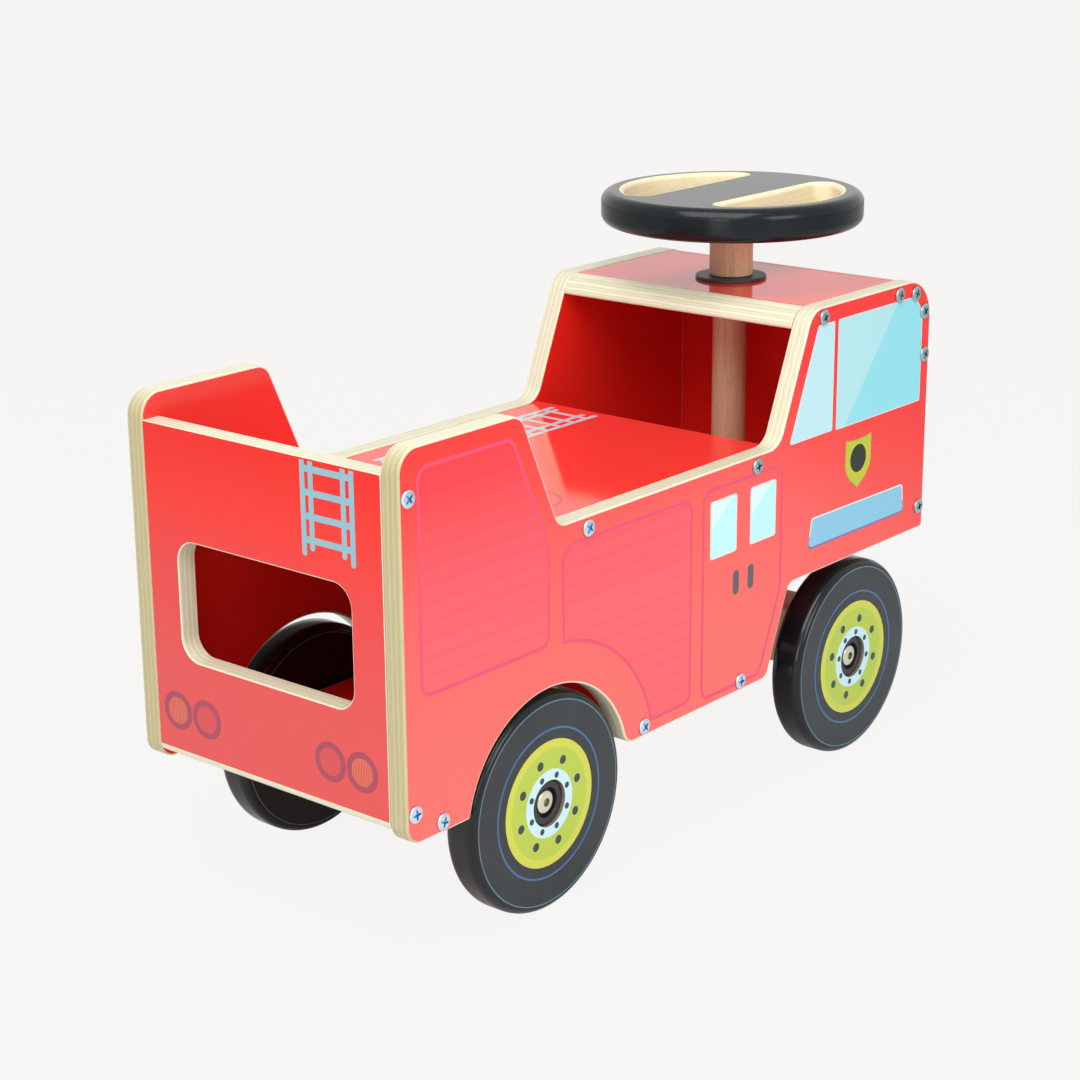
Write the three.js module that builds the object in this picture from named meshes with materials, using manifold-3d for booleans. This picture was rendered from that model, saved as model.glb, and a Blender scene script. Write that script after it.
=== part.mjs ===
import * as THREE from 'three';
import { mergeVertices } from 'three/addons/utils/BufferGeometryUtils.js';
import Module from 'manifold-3d';

const wasm = await Module();
wasm.setup();

// A wooden ride-on fire engine. Millimetres, +X forward, +Y left, +Z up.
// The origin is on the ground, under the middle of the whole toy.

// Driving dimensions of the body
const bodyLength = 515;
const bodyWidth = 208;
const panelThickness = 12.5;
const roofHeight = 310;
const seatHeight = 229.5;
const tailHeight = 299;
const rearPanelDrop = 14.5;
const rearPanelLift = 7;
const sillRise = 14.5;
const cabSillRise = 5.5;
const arris = 1.5;
const boardCorner = 2.5;
const jointGap = 0.2;
const cutOverrun = 2;

// Side outline: the tail is measured from the rear face, the cab and the step below it from the nose
const tailTopLength = 96.2;
const tailLean = 31.2;
const cabRoofLength = 140.4;
const cabPillarLean = 33.8;
const stepSetback = 159.7;
const stepLean = 23.3;
const tailRearRadius = 14;
const tailFrontRadius = 12;
const seatRearRadius = 10;
const seatFrontRadius = 14;
const cabRearRadius = 16;
const cabFrontRadius = 27;
const chinRadius = 3;
const stepTopRadius = 8;
const stepFootRadius = 8;
const tailFootRadius = 11;
const archClearance = 4.6;
const archFrontFillet = 9;
const archRearFillet = 2;

// Rear window
const windowDrop = 10.9;
const windowHeight = 68.3;
const windowWidth = 134;
const windowRadius = 20;

// Boards between the sides
const deckDrop = 1;
const deckOverhang = 2.2;
const roofDrop = 0.6;
const floorFrontSetback = 12;
const floorNotchDepth = 13.5;
const floorNotchRadius = 9;
const floorNotchClearance = 8;
const boardRearGap = 2;
const steeringBoardLift = 0.5;

// Wheels and axles
const wheelRadius = 66;
const wheelWidth = 21.5;
const rearAxleLength = 119;
const columnSetback = 82;
const rearWheelInset = 1.5;
const frontWheelInset = 0;
const wheelShoulderRise = 4.4;
const wheelShoulderRun = 6;
const wheelSides = 36;
const runningClearance = 0.3;
const axleDiameter = 12;
const axleEndDepth = 4.6;
const flangeDiameter = 27;
const flangeThickness = 2.2;
const flangeDepth = 2.7;
const flangeClearance = 0.5;
const bushBarrelDiameter = 20;
const bushPocketDiameter = 18;
const bushPocketDepth = 5;
const bushLip = 1;
const boltHeadDiameter = 14;
const boltHeadHeight = 2.4;
const boltCrown = 1.3;
const boltDiameter = 8;
const boltLength = 22;
const bushSides = 16;

// Axle block and beam
const blockTopWidth = 44;
const blockTopThickness = 9;
const blockNoseRadius = 9.5;
const blockFillet = 6;
const beamWidth = 34;
const beamRise = 30;
const beamHeight = 41;
const beamArris = 3;
const columnSocketDepth = 20;
const crossBoltDiameter = 6;
const crossBoltHeadDiameter = 12;
const crossBoltHeadHeight = 3;
const crossBoltDrop = 9.5;

// Steering
const columnDiameter = 23.2;
const columnWallClearance = 0.3;
const sleeveDiameter = 28.7;
const roofBushBarrelDiameter = 27.5;
const roofBushFlangeDiameter = 46.8;
const roofBushFlangeThickness = 2;
const steeringWheelRadius = 86;
const steeringWheelThickness = 22;
const steeringWheelRise = 58;
const steeringRimFillet = 7;
const slotInnerDistance = 27.5;
const steeringRimWidth = 15;
const slotEndRadius = 8;
const slotArris = 3;
const wheelSocketDepth = 14;
const hubScrewHeadDiameter = 9;
const hubScrewHeadHeight = 3;
const hubScrewDiameter = 4;
const hubScrewLength = 34;
const columnSides = 24;
const steeringWheelSides = 56;

// Panel screws
const screwHeadDiameter = 10.4;
const screwHeadHeight = 1.4;
const screwCrownShare = 0.7;
const screwDiameter = 4.4;
const screwLength = 34;
const screwHoleClearance = 0.3;
const screwSides = 8;
const rearScrewTopSetback = 12;
const rearScrewBottomSetback = 10.7;
const floorScrewRearShare = 0.4655;
const floorScrewMiddleSetback = 15.4;
const floorScrewFrontSetback = 17;
const deckScrewSetback = 25.5;
const roofScrewSetback = 12.5;
const frontScrewTopSetback = 24.5;
const frontScrewBottomSetback = 15.5;
const cornerScrewRadius = 19.5;
const cornerScrewAngles = [THREE.MathUtils.degToRad(14), THREE.MathUtils.degToRad(67)];

const chordError = 0.18;
const wheelShoulderSteps = 2;
const rimFilletSteps = 2;
const quarterTurn = Math.PI / 2;

// Places worked out from the dimensions
const columnLength = bodyLength - columnSetback;
const overallLength = Math.max(bodyLength, columnLength + steeringWheelRadius);
const rearFace = -overallLength / 2;
const frontFace = rearFace + bodyLength;
const columnX = rearFace + columnLength;
const rearAxleX = rearFace + rearAxleLength;
const tailTopX = rearFace + tailTopLength;
const tailFootX = tailTopX + tailLean;
const cabTopX = frontFace - cabRoofLength;
const cabFootX = cabTopX - cabPillarLean;
const stepTopX = frontFace - stepSetback;
const stepFootX = stepTopX - stepLean;
const axleHeight = wheelRadius;
const sillHeight = axleHeight + sillRise;
const cabSillHeight = 2 * wheelRadius + cabSillRise;
const rearPanelTop = tailHeight - rearPanelDrop;
const rearPanelBottom = sillHeight + rearPanelLift;
const windowTop = seatHeight - windowDrop;
const windowBottom = windowTop - windowHeight;
const sideFace = bodyWidth / 2;
const innerFace = sideFace - panelThickness;
const boardHalfWidth = innerFace - jointGap;
const archRadius = wheelRadius + archClearance;
const rearNotchX = rearAxleX - wheelRadius - floorNotchClearance;
const frontNotchX = rearAxleX + wheelRadius + floorNotchClearance;
const rearBoardX = rearFace + panelThickness + jointGap;
const frontBoardX = frontFace - panelThickness - jointGap;
const deckTop = seatHeight - deckDrop;
const deckMiddle = deckTop - panelThickness / 2;
const roofTop = roofHeight - roofDrop;
const roofMiddle = roofTop - panelThickness / 2;
const floorMiddle = sillHeight + panelThickness / 2;
const floorFrontX = stepFootX - floorFrontSetback;
const deckFrontX = cabFootX + deckOverhang;
const cornerX = frontFace - cabFrontRadius;
const cornerZ = roofHeight - cabFrontRadius;
const frontPanelTop = cornerZ - jointGap;
const boardBottom = cabSillHeight + steeringBoardLift;
const rearWheelFace = sideFace - rearWheelInset;
const frontWheelFace = sideFace - frontWheelInset;
const beamTop = axleHeight + beamRise;
const beamBottom = beamTop - beamHeight;
const steeringWheelTop = roofHeight + steeringWheelRise;
const slotOuterRadius = steeringWheelRadius - steeringRimWidth;
const columnTop = steeringWheelTop - steeringWheelThickness + wheelSocketDepth - jointGap;
const columnBottom = beamTop - columnSocketDepth + jointGap;
const boreRadius = axleDiameter / 2 + runningClearance;
const columnBoreRadius = columnDiameter / 2 + columnWallClearance;

// Materials
const redFilm = new THREE.MeshStandardMaterial({ color: 0xe8352b, roughness: 0.25, metalness: 0 });
const redPaint = new THREE.MeshStandardMaterial({ color: 0xd9201c, roughness: 0.35, metalness: 0 });
const beech = new THREE.MeshStandardMaterial({ color: 0xbe8a64, roughness: 0.45, metalness: 0 });
const pine = new THREE.MeshStandardMaterial({ color: 0xd9bf8f, roughness: 0.6, metalness: 0 });
const blackPaint = new THREE.MeshStandardMaterial({ color: 0x23282c, roughness: 0.3, metalness: 0 });
const printedWheel = new THREE.MeshStandardMaterial({ color: 0x414446, roughness: 0.4, metalness: 0 });
const blackPlastic = new THREE.MeshStandardMaterial({ color: 0x1d1d1e, roughness: 0.5, metalness: 0 });
const zinc = new THREE.MeshStandardMaterial({ color: 0xc9d4da, roughness: 0.3, metalness: 1 });
const nickel = new THREE.MeshStandardMaterial({ color: 0xc8c3aa, roughness: 0.25, metalness: 1 });

// Solids, cuts and joins
function solidOf(geometry) {
  const bare = geometry.clone();
  bare.deleteAttribute('normal');
  bare.deleteAttribute('uv');
  const merged = mergeVertices(bare);
  return new wasm.Manifold(new wasm.Mesh({
    numProp: 3,
    vertProperties: new Float32Array(merged.attributes.position.array),
    triVerts: new Uint32Array(merged.index.array),
  }));
}

function geometryOf(solid) {
  const mesh = solid.getMesh();
  const geometry = new THREE.BufferGeometry();
  geometry.setAttribute('position', new THREE.BufferAttribute(new Float32Array(mesh.vertProperties), 3));
  geometry.setIndex(new THREE.BufferAttribute(new Uint32Array(mesh.triVerts), 1));
  geometry.computeVertexNormals();
  return geometry;
}

function cutAway(geometry, cutters) {
  let solid = solidOf(geometry);
  for (const cutter of cutters) {
    solid = solid.subtract(solidOf(cutter));
  }
  return geometryOf(solid);
}

function meshOf(name, geometry, material) {
  const mesh = new THREE.Mesh(geometry, material);
  mesh.name = name;
  return mesh;
}

// Outlines with rounded corners
function arcBetween(centre, radius, from, to) {
  const step = 2 * Math.acos(1 - chordError / radius);
  const count = Math.max(2, Math.ceil(Math.abs(to - from) / step));
  return Array.from({ length: count + 1 }, (_, i) => {
    const angle = from + (to - from) * i / count;
    return new THREE.Vector2(centre.x + radius * Math.cos(angle), centre.y + radius * Math.sin(angle));
  });
}

function roundedCorner(before, corner, after, radius) {
  const back = before.clone().sub(corner).normalize();
  const ahead = after.clone().sub(corner).normalize();
  const halfAngle = Math.acos(back.dot(ahead)) / 2;
  const bisector = back.clone().add(ahead).normalize();
  const centre = corner.clone().addScaledVector(bisector, radius / Math.sin(halfAngle));
  const reach = radius / Math.tan(halfAngle);
  const start = corner.clone().addScaledVector(back, reach).sub(centre).angle();
  const end = corner.clone().addScaledVector(ahead, reach).sub(centre).angle();
  const sweep = THREE.MathUtils.euclideanModulo(end - start + Math.PI, 2 * Math.PI) - Math.PI;
  return arcBetween(centre, radius, start, start + sweep);
}

function cornerArcs(corners) {
  return corners.map(([x, y, radius], i) => {
    const before = corners[(i + corners.length - 1) % corners.length];
    const after = corners[(i + 1) % corners.length];
    const corner = new THREE.Vector2(x, y);
    return roundedCorner(new THREE.Vector2(before[0], before[1]), corner,
      new THREE.Vector2(after[0], after[1]), radius);
  });
}

function roundedOutline(corners) {
  return cornerArcs(corners).flat();
}

function board(outline, thickness, roundover) {
  return new THREE.ExtrudeGeometry(new THREE.Shape(outline), {
    depth: thickness - 2 * roundover,
    bevelEnabled: true,
    bevelThickness: roundover,
    bevelSize: roundover,
    bevelOffset: -roundover,
    bevelSegments: 1,
  }).translate(0, 0, roundover);
}

function revolved(profile, sides) {
  return new THREE.LatheGeometry(profile.map(([radius, height]) => new THREE.Vector2(radius, height)),
    sides, Math.PI / sides);
}

function rod(radius, length, sides) {
  return new THREE.CylinderGeometry(radius, radius, length, sides).rotateY(Math.PI / sides);
}

function uprightTube(outerRadius, innerRadius, length, sides) {
  return revolved([
    [innerRadius, 0],
    [outerRadius, 0],
    [outerRadius, length],
    [innerRadius, length],
    [innerRadius, 0],
  ], sides).rotateX(quarterTurn);
}

// Where the screws go, as places along and above, from the named sizes of what they hold
function screwPlaces() {
  const rearMiddle = rearFace + panelThickness / 2;
  const frontMiddle = frontFace - panelThickness / 2;
  return [
    ['rear_upper', rearMiddle, rearPanelTop - rearScrewTopSetback],
    ['rear_lower', rearMiddle, rearPanelBottom + rearScrewBottomSetback],
    ['floor_rear', rearBoardX + floorScrewRearShare * (rearNotchX - rearBoardX), floorMiddle],
    ['floor_middle', rearAxleX + archRadius + floorScrewMiddleSetback, floorMiddle],
    ['floor_front', floorFrontX - floorScrewFrontSetback, floorMiddle],
    ['deck_rear', tailFootX + deckScrewSetback, deckMiddle],
    ['deck_front', deckFrontX - deckScrewSetback, deckMiddle],
    ['roof_rear', cabTopX + roofScrewSetback, roofMiddle],
    ['roof_front', cornerX - roofScrewSetback, roofMiddle],
    ['corner_upper', ...cornerScrewPlace(cornerScrewAngles[1])],
    ['corner_lower', ...cornerScrewPlace(cornerScrewAngles[0])],
    ['front_upper', frontMiddle, frontPanelTop - frontScrewTopSetback],
    ['front_lower', frontMiddle, cabSillHeight + frontScrewBottomSetback],
  ];
}

function cornerScrewPlace(angle) {
  return [cornerX + cornerScrewRadius * Math.cos(angle), cornerZ + cornerScrewRadius * Math.sin(angle)];
}

// The clearance holes for all screws, right through the body from side to side
function screwBores() {
  const length = bodyWidth + 2 * cutOverrun;
  return screwPlaces().map(([, x, z]) => rod(screwDiameter / 2 + screwHoleClearance, length, screwSides)
    .translate(x, 0, z));
}

// The holes in one board: only as deep as the screws reach in from each side
function pilotBores(prefix) {
  const depth = screwLength - panelThickness - jointGap + screwHoleClearance;
  const bores = [];
  for (const [name, x, z] of screwPlaces()) {
    if (name.startsWith(prefix)) {
      for (const side of [-1, 1]) {
        const bore = rod(screwDiameter / 2 + screwHoleClearance, depth + cutOverrun, screwSides);
        bores.push(bore.translate(x, side * (boardHalfWidth - (depth - cutOverrun) / 2), z));
      }
    }
  }
  return bores;
}

// The side's outline, seen from its right, with the wheel arch cut into the sill
function archCorner(direction, fillet) {
  const centreY = sillHeight + fillet;
  const away = Math.sqrt((archRadius + fillet) ** 2 - (centreY - axleHeight) ** 2);
  const centre = new THREE.Vector2(rearAxleX + direction * away, centreY);
  const towardsArch = Math.atan2(axleHeight - centreY, -direction * away);
  const down = -quarterTurn;
  const turn = direction > 0 ? towardsArch + (towardsArch > 0 ? -2 * Math.PI : 0) : towardsArch;
  return { centre, angles: direction > 0 ? [turn, down] : [down, turn] };
}

function sideOutline() {
  const rear = archCorner(-1, archRearFillet);
  const front = archCorner(1, archFrontFillet);
  const rise = (corner) => Math.atan2(corner.centre.y - axleHeight, corner.centre.x - rearAxleX);
  const wheelCentre = new THREE.Vector2(rearAxleX, axleHeight);
  const corners = [
    [rearFace, sillHeight, tailFootRadius],
    [stepFootX, sillHeight, stepFootRadius],
    [stepTopX, cabSillHeight, stepTopRadius],
    [frontFace, cabSillHeight, chinRadius],
    [frontFace, roofHeight, cabFrontRadius],
    [cabTopX, roofHeight, cabRearRadius],
    [cabFootX, seatHeight, seatFrontRadius],
    [tailFootX, seatHeight, seatRearRadius],
    [tailTopX, tailHeight, tailFrontRadius],
    [rearFace, tailHeight, tailRearRadius],
  ];
  const [tailFoot, ...otherCorners] = cornerArcs(corners);
  return [
    ...tailFoot,
    ...arcBetween(rear.centre, archRearFillet, ...rear.angles),
    ...arcBetween(wheelCentre, archRadius, rise(rear), rise(front)).slice(1, -1),
    ...arcBetween(front.centre, archFrontFillet, ...front.angles),
    ...otherCorners.flat(),
  ];
}

function sidePanel(side) {
  const panel = board(sideOutline(), panelThickness, arris)
    .rotateX(quarterTurn)
    .translate(0, side > 0 ? sideFace : -innerFace, 0);
  return cutAway(panel, screwBores());
}

// Upright board across the body, with its outline given as [y, z, radius]
function crossBoard(corners, holes, x, thickness, roundover) {
  const shape = new THREE.Shape(roundedOutline(corners));
  shape.holes = holes.map((hole) => new THREE.Path(roundedOutline(hole).reverse()));
  return new THREE.ExtrudeGeometry(shape, {
    depth: thickness - 2 * roundover,
    bevelEnabled: true,
    bevelThickness: roundover,
    bevelSize: roundover,
    bevelOffset: -roundover,
    bevelSegments: 1,
  }).translate(0, 0, roundover).rotateY(quarterTurn).rotateX(quarterTurn).translate(x, 0, 0);
}

function rectangle(halfWidth, bottom, top, radius) {
  return [
    [-halfWidth, bottom, radius],
    [halfWidth, bottom, radius],
    [halfWidth, top, radius],
    [-halfWidth, top, radius],
  ];
}

function rearPanel() {
  const outer = rectangle(boardHalfWidth, rearPanelBottom, rearPanelTop, boardCorner);
  const opening = rectangle(windowWidth / 2, windowBottom, windowTop, windowRadius);
  const panel = crossBoard(outer, [opening], rearFace, panelThickness, arris);
  return cutAway(panel, pilotBores('rear'));
}

function frontPanel() {
  const outer = rectangle(boardHalfWidth, cabSillHeight, frontPanelTop, boardCorner);
  const panel = crossBoard(outer, [], frontFace - panelThickness, panelThickness, arris / 2);
  return cutAway(panel, pilotBores('front'));
}

// Level board between the sides, with its outline given as [x, y, radius]
function seatDeck() {
  const corners = [
    [rearBoardX, -boardHalfWidth, boardCorner],
    [deckFrontX, -boardHalfWidth, boardCorner],
    [deckFrontX, boardHalfWidth, boardCorner],
    [rearBoardX, boardHalfWidth, boardCorner],
  ];
  const deck = board(roundedOutline(corners), panelThickness, arris / 2).translate(0, 0, deckTop - panelThickness);
  return cutAway(deck, pilotBores('deck'));
}

function floorPanel() {
  const notchY = innerFace - floorNotchDepth;
  const right = [
    [rearBoardX, -boardHalfWidth, boardCorner],
    [rearNotchX, -boardHalfWidth, boardCorner],
    [rearNotchX, -notchY, floorNotchRadius],
    [frontNotchX, -notchY, floorNotchRadius],
    [frontNotchX, -boardHalfWidth, boardCorner],
    [floorFrontX, -boardHalfWidth, boardCorner],
  ];
  const left = right.map(([x, y, radius]) => [x, -y, radius]).reverse();
  const floor = board(roundedOutline([...right, ...left]), panelThickness, arris / 2).translate(0, 0, sillHeight);
  return cutAway(floor, pilotBores('floor'));
}

// The roof's rear edge lies in the slant of the sides and is rounded as they are, as far as it is thick
function roofEdgeRadius(slant) {
  const lean = Math.atan(slant);
  const footReach = arris / Math.tan((quarterTurn - lean) / 2);
  const room = panelThickness / Math.cos(lean) - footReach - jointGap;
  return Math.min(cabRearRadius - roofDrop, room * Math.tan((quarterTurn + lean) / 2));
}

function roofPanel() {
  const slant = cabPillarLean / (roofHeight - seatHeight);
  const edgeX = (z) => cabTopX - slant * (roofHeight - z);
  const bottom = roofTop - panelThickness;
  const outline = roundedOutline([
    [edgeX(bottom), bottom, arris],
    [cornerX - jointGap, bottom, arris / 2],
    [cornerX - jointGap, roofTop, arris / 2],
    [edgeX(roofTop), roofTop, roofEdgeRadius(slant)],
  ]);
  const roof = new THREE.ExtrudeGeometry(new THREE.Shape(outline), {
    depth: 2 * boardHalfWidth,
    bevelEnabled: false,
  }).rotateX(quarterTurn).translate(0, boardHalfWidth, 0);
  const bushHole = rod(roofBushBarrelDiameter / 2 + jointGap, panelThickness + 2 * cutOverrun, columnSides)
    .rotateX(quarterTurn)
    .translate(columnX, 0, roofMiddle);
  return cutAway(roof, [bushHole, ...pilotBores('roof')]);
}

function cornerBlock() {
  const centre = new THREE.Vector2(cornerX, cornerZ);
  const outline = [centre, ...arcBetween(centre, cabFrontRadius - roofDrop, 0, quarterTurn)];
  const block = new THREE.ExtrudeGeometry(new THREE.Shape(outline), {
    depth: 2 * boardHalfWidth,
    bevelEnabled: false,
  }).rotateX(quarterTurn).translate(0, boardHalfWidth, 0);
  return cutAway(block, pilotBores('corner'));
}

function steeringBoard() {
  const corners = [
    [stepTopX + boardRearGap, -boardHalfWidth, boardCorner],
    [frontBoardX, -boardHalfWidth, boardCorner],
    [frontBoardX, boardHalfWidth, boardCorner],
    [stepTopX + boardRearGap, boardHalfWidth, boardCorner],
  ];
  const plain = board(roundedOutline(corners), panelThickness, arris / 2).translate(0, 0, boardBottom);
  const bushHole = rod(roofBushBarrelDiameter / 2 + jointGap, panelThickness + 2 * cutOverrun, columnSides)
    .rotateX(quarterTurn)
    .translate(columnX, 0, boardBottom + panelThickness / 2);
  return cutAway(plain, [bushHole]);
}

// Flanged bush with its flange on top and its barrel hanging in a board
function flangedBush(barrelLength) {
  return revolved([
    [columnBoreRadius, -barrelLength],
    [roofBushBarrelDiameter / 2, -barrelLength],
    [roofBushBarrelDiameter / 2, 0],
    [roofBushFlangeDiameter / 2, 0],
    [roofBushFlangeDiameter / 2, roofBushFlangeThickness],
    [columnBoreRadius, roofBushFlangeThickness],
    [columnBoreRadius, -barrelLength],
  ], columnSides).rotateX(quarterTurn);
}

// Pan-head screw with its axis along Y and its head outwards, towards +Y
function panelScrew() {
  const head = screwHeadDiameter / 2;
  return revolved([
    [0, -screwLength],
    [screwDiameter / 2, -screwLength],
    [screwDiameter / 2, 0],
    [head, 0],
    [head * screwCrownShare, screwHeadHeight],
    [0, screwHeadHeight],
  ], screwSides);
}

function panelScrews() {
  const group = new THREE.Group();
  for (const [side, sideName] of [[1, 'left'], [-1, 'right']]) {
    for (const [name, x, z] of screwPlaces()) {
      const screw = meshOf(`${sideName}_${name}_screw`, panelScrew(), zinc);
      screw.position.set(x, side * (sideFace + jointGap), z);
      screw.rotation.z = side > 0 ? 0 : Math.PI;
      group.add(screw);
    }
  }
  return group;
}

// Wheel parts: the axis is Y, the outer face is at zero and the wheel lies on the negative side
function wheelDisc() {
  const face = wheelRadius - wheelShoulderRise;
  const flat = wheelRadius / Math.cos(Math.PI / wheelSides);
  const shoulder = Array.from({ length: wheelShoulderSteps }, (_, i) => {
    const angle = quarterTurn * (i + 1) / wheelShoulderSteps;
    return [
      face + (flat - face) * Math.sin(angle),
      wheelShoulderRun * (1 - Math.cos(angle)),
    ];
  });
  const bore = bushBarrelDiameter / 2 + jointGap;
  const recess = flangeDiameter / 2 + flangeClearance;
  return revolved([
    [bore, -wheelWidth],
    [face, -wheelWidth],
    ...shoulder.map(([radius, depth]) => [radius, -wheelWidth + depth]),
    ...shoulder.map(([radius, depth]) => [radius, -depth]).reverse(),
    [face, 0],
    [recess, 0],
    [recess, -flangeDepth - flangeThickness - jointGap],
    [bore, -flangeDepth - flangeThickness - jointGap],
    [bore, -wheelWidth],
  ], wheelSides);
}

function wheelBush() {
  const flangeBottom = flangeDepth + flangeThickness;
  return revolved([
    [boreRadius, -wheelWidth - bushLip],
    [bushBarrelDiameter / 2, -wheelWidth - bushLip],
    [bushBarrelDiameter / 2, -flangeBottom],
    [flangeDiameter / 2, -flangeBottom],
    [flangeDiameter / 2, -flangeDepth],
    [bushPocketDiameter / 2, -flangeDepth],
    [bushPocketDiameter / 2, -bushPocketDepth],
    [boreRadius, -bushPocketDepth],
    [boreRadius, -wheelWidth - bushLip],
  ], bushSides);
}

function wheelBolt() {
  const under = -axleEndDepth + jointGap;
  return revolved([
    [0, under - boltLength],
    [boltDiameter / 2, under - boltLength],
    [boltDiameter / 2, under],
    [boltHeadDiameter / 2, under],
    [boltHeadDiameter / 2, under + boltHeadHeight - boltCrown],
    [boltHeadDiameter / 2 - boltCrown, under + boltHeadHeight],
    [0, under + boltHeadHeight],
  ], bushSides);
}

function wheelSet(name, x, side, face) {
  const group = new THREE.Group();
  group.position.set(x, side * face, axleHeight);
  group.rotation.z = side > 0 ? 0 : Math.PI;
  group.add(meshOf(`${name}_wheel`, wheelDisc(), printedWheel));
  group.add(meshOf(`${name}_wheel_bush`, wheelBush(), blackPlastic));
  group.add(meshOf(`${name}_wheel_bolt`, wheelBolt(), nickel));
  return group;
}

// Axle rod across the body, tapped at both ends for the wheel bolts
function axle(face) {
  const half = face - axleEndDepth;
  const tapping = boltDiameter / 2 + runningClearance;
  const bores = [-1, 1].map((side) => rod(tapping, boltLength + cutOverrun, bushSides)
    .translate(0, side * (half - (boltLength - cutOverrun) / 2), 0));
  return cutAway(rod(axleDiameter / 2, 2 * half, bushSides), bores);
}

// Where the wheel's bush ends, and the block may begin
function blockHalfLength(face) {
  return face - wheelWidth - bushLip - jointGap;
}

// Section of the rear block: wide against the floor, with a half-round nose round the axle
function rearAxleBlock() {
  const top = sillHeight - jointGap;
  const shelf = top - blockTopThickness;
  const outline = [
    ...roundedOutline([
      [blockNoseRadius + blockFillet, shelf, arris],
      [blockTopWidth / 2, shelf, arris],
      [blockTopWidth / 2, top, arris],
      [-blockTopWidth / 2, top, arris],
      [-blockTopWidth / 2, shelf, arris],
      [-blockNoseRadius - blockFillet, shelf, arris],
    ]).slice(3, -3),
    ...arcBetween(new THREE.Vector2(0, axleHeight), blockNoseRadius, -Math.PI, 0),
  ];
  const length = 2 * blockHalfLength(rearWheelFace);
  const block = new THREE.ExtrudeGeometry(new THREE.Shape(outline), {
    depth: length,
    bevelEnabled: false,
  }).rotateX(quarterTurn).translate(rearAxleX, length / 2, 0);
  const bore = rod(boreRadius, length + 2 * cutOverrun, bushSides).translate(rearAxleX, 0, axleHeight);
  return cutAway(block, [bore]);
}

// Front beam: bored along for the axle, socketed for the column and cross bored for its bolt
function frontAxleBeam() {
  const half = blockHalfLength(frontWheelFace);
  const outline = roundedOutline([
    [-beamWidth / 2, beamBottom, beamArris],
    [beamWidth / 2, beamBottom, beamArris],
    [beamWidth / 2, beamTop, beamArris],
    [-beamWidth / 2, beamTop, beamArris],
  ]);
  const beam = new THREE.ExtrudeGeometry(new THREE.Shape(outline), {
    depth: 2 * half,
    bevelEnabled: false,
  }).rotateX(quarterTurn).translate(0, half, 0);
  const axleBore = rod(boreRadius, 2 * half + 2 * cutOverrun, bushSides).translate(0, 0, axleHeight);
  const socket = rod(columnBoreRadius, columnSocketDepth + cutOverrun, columnSides)
    .rotateX(quarterTurn)
    .translate(0, 0, beamTop - (columnSocketDepth - cutOverrun) / 2);
  return cutAway(beam, [axleBore, socket, crossBore(beamWidth + 2 * cutOverrun)]);
}

function crossBore(length) {
  return rod(crossBoltDiameter / 2 + runningClearance, length, bushSides)
    .rotateZ(quarterTurn)
    .translate(0, 0, beamTop - crossBoltDrop);
}

function crossBolt() {
  const half = beamWidth / 2 + jointGap;
  const head = crossBoltHeadDiameter / 2;
  return revolved([
    [0, -half - crossBoltHeadHeight],
    [head / 2, -half - crossBoltHeadHeight],
    [head, -half],
    [crossBoltDiameter / 2, -half],
    [crossBoltDiameter / 2, half],
    [head, half],
    [head / 2, half + crossBoltHeadHeight],
    [0, half + crossBoltHeadHeight],
  ], bushSides).rotateZ(quarterTurn).translate(0, 0, beamTop - crossBoltDrop);
}

function steeringColumn() {
  const length = columnTop - columnBottom;
  const column = rod(columnDiameter / 2, length, columnSides)
    .rotateX(quarterTurn)
    .translate(0, 0, (columnTop + columnBottom) / 2);
  const screwReach = hubScrewLength - (steeringWheelThickness - wheelSocketDepth);
  const pilot = rod(hubScrewDiameter / 2 + runningClearance, screwReach + cutOverrun + jointGap, screwSides)
    .rotateX(quarterTurn)
    .translate(0, 0, columnTop - (screwReach - cutOverrun) / 2);
  return cutAway(column, [pilot, crossBore(columnDiameter + 2 * cutOverrun)]);
}

// One hand slot of the steering wheel: a chord of the inner circle with round ends
function slotOutline(grow) {
  const inner = slotInnerDistance - grow;
  const outer = slotOuterRadius + grow;
  const fillet = slotEndRadius + grow;
  const centreY = inner + fillet;
  const centreX = Math.sqrt((outer - fillet) ** 2 - centreY ** 2);
  const lean = Math.atan2(centreY, centreX);
  return [
    ...arcBetween(new THREE.Vector2(centreX, centreY), fillet, -quarterTurn, lean),
    ...arcBetween(new THREE.Vector2(0, 0), outer, lean, Math.PI - lean).slice(1, -1),
    ...arcBetween(new THREE.Vector2(-centreX, centreY), fillet, Math.PI - lean, Math.PI + quarterTurn),
  ];
}

function slotCutters() {
  const bottom = steeringWheelTop - steeringWheelThickness;
  const through = new THREE.ExtrudeGeometry(new THREE.Shape(slotOutline(0)), {
    depth: steeringWheelThickness + 2 * cutOverrun,
    bevelEnabled: false,
  }).translate(0, 0, bottom - cutOverrun);
  const mouth = new THREE.ExtrudeGeometry(new THREE.Shape(slotOutline(slotArris)), {
    depth: cutOverrun,
    bevelEnabled: true,
    bevelThickness: slotArris,
    bevelSize: slotArris,
    bevelOffset: -slotArris,
    bevelSegments: 2,
  });
  const topMouth = mouth.clone().translate(0, 0, steeringWheelTop);
  const bottomMouth = mouth.clone().translate(0, 0, bottom - cutOverrun);
  return [through, topMouth, bottomMouth].flatMap((cutter) => [cutter, cutter.clone().rotateZ(Math.PI)]);
}

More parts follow.
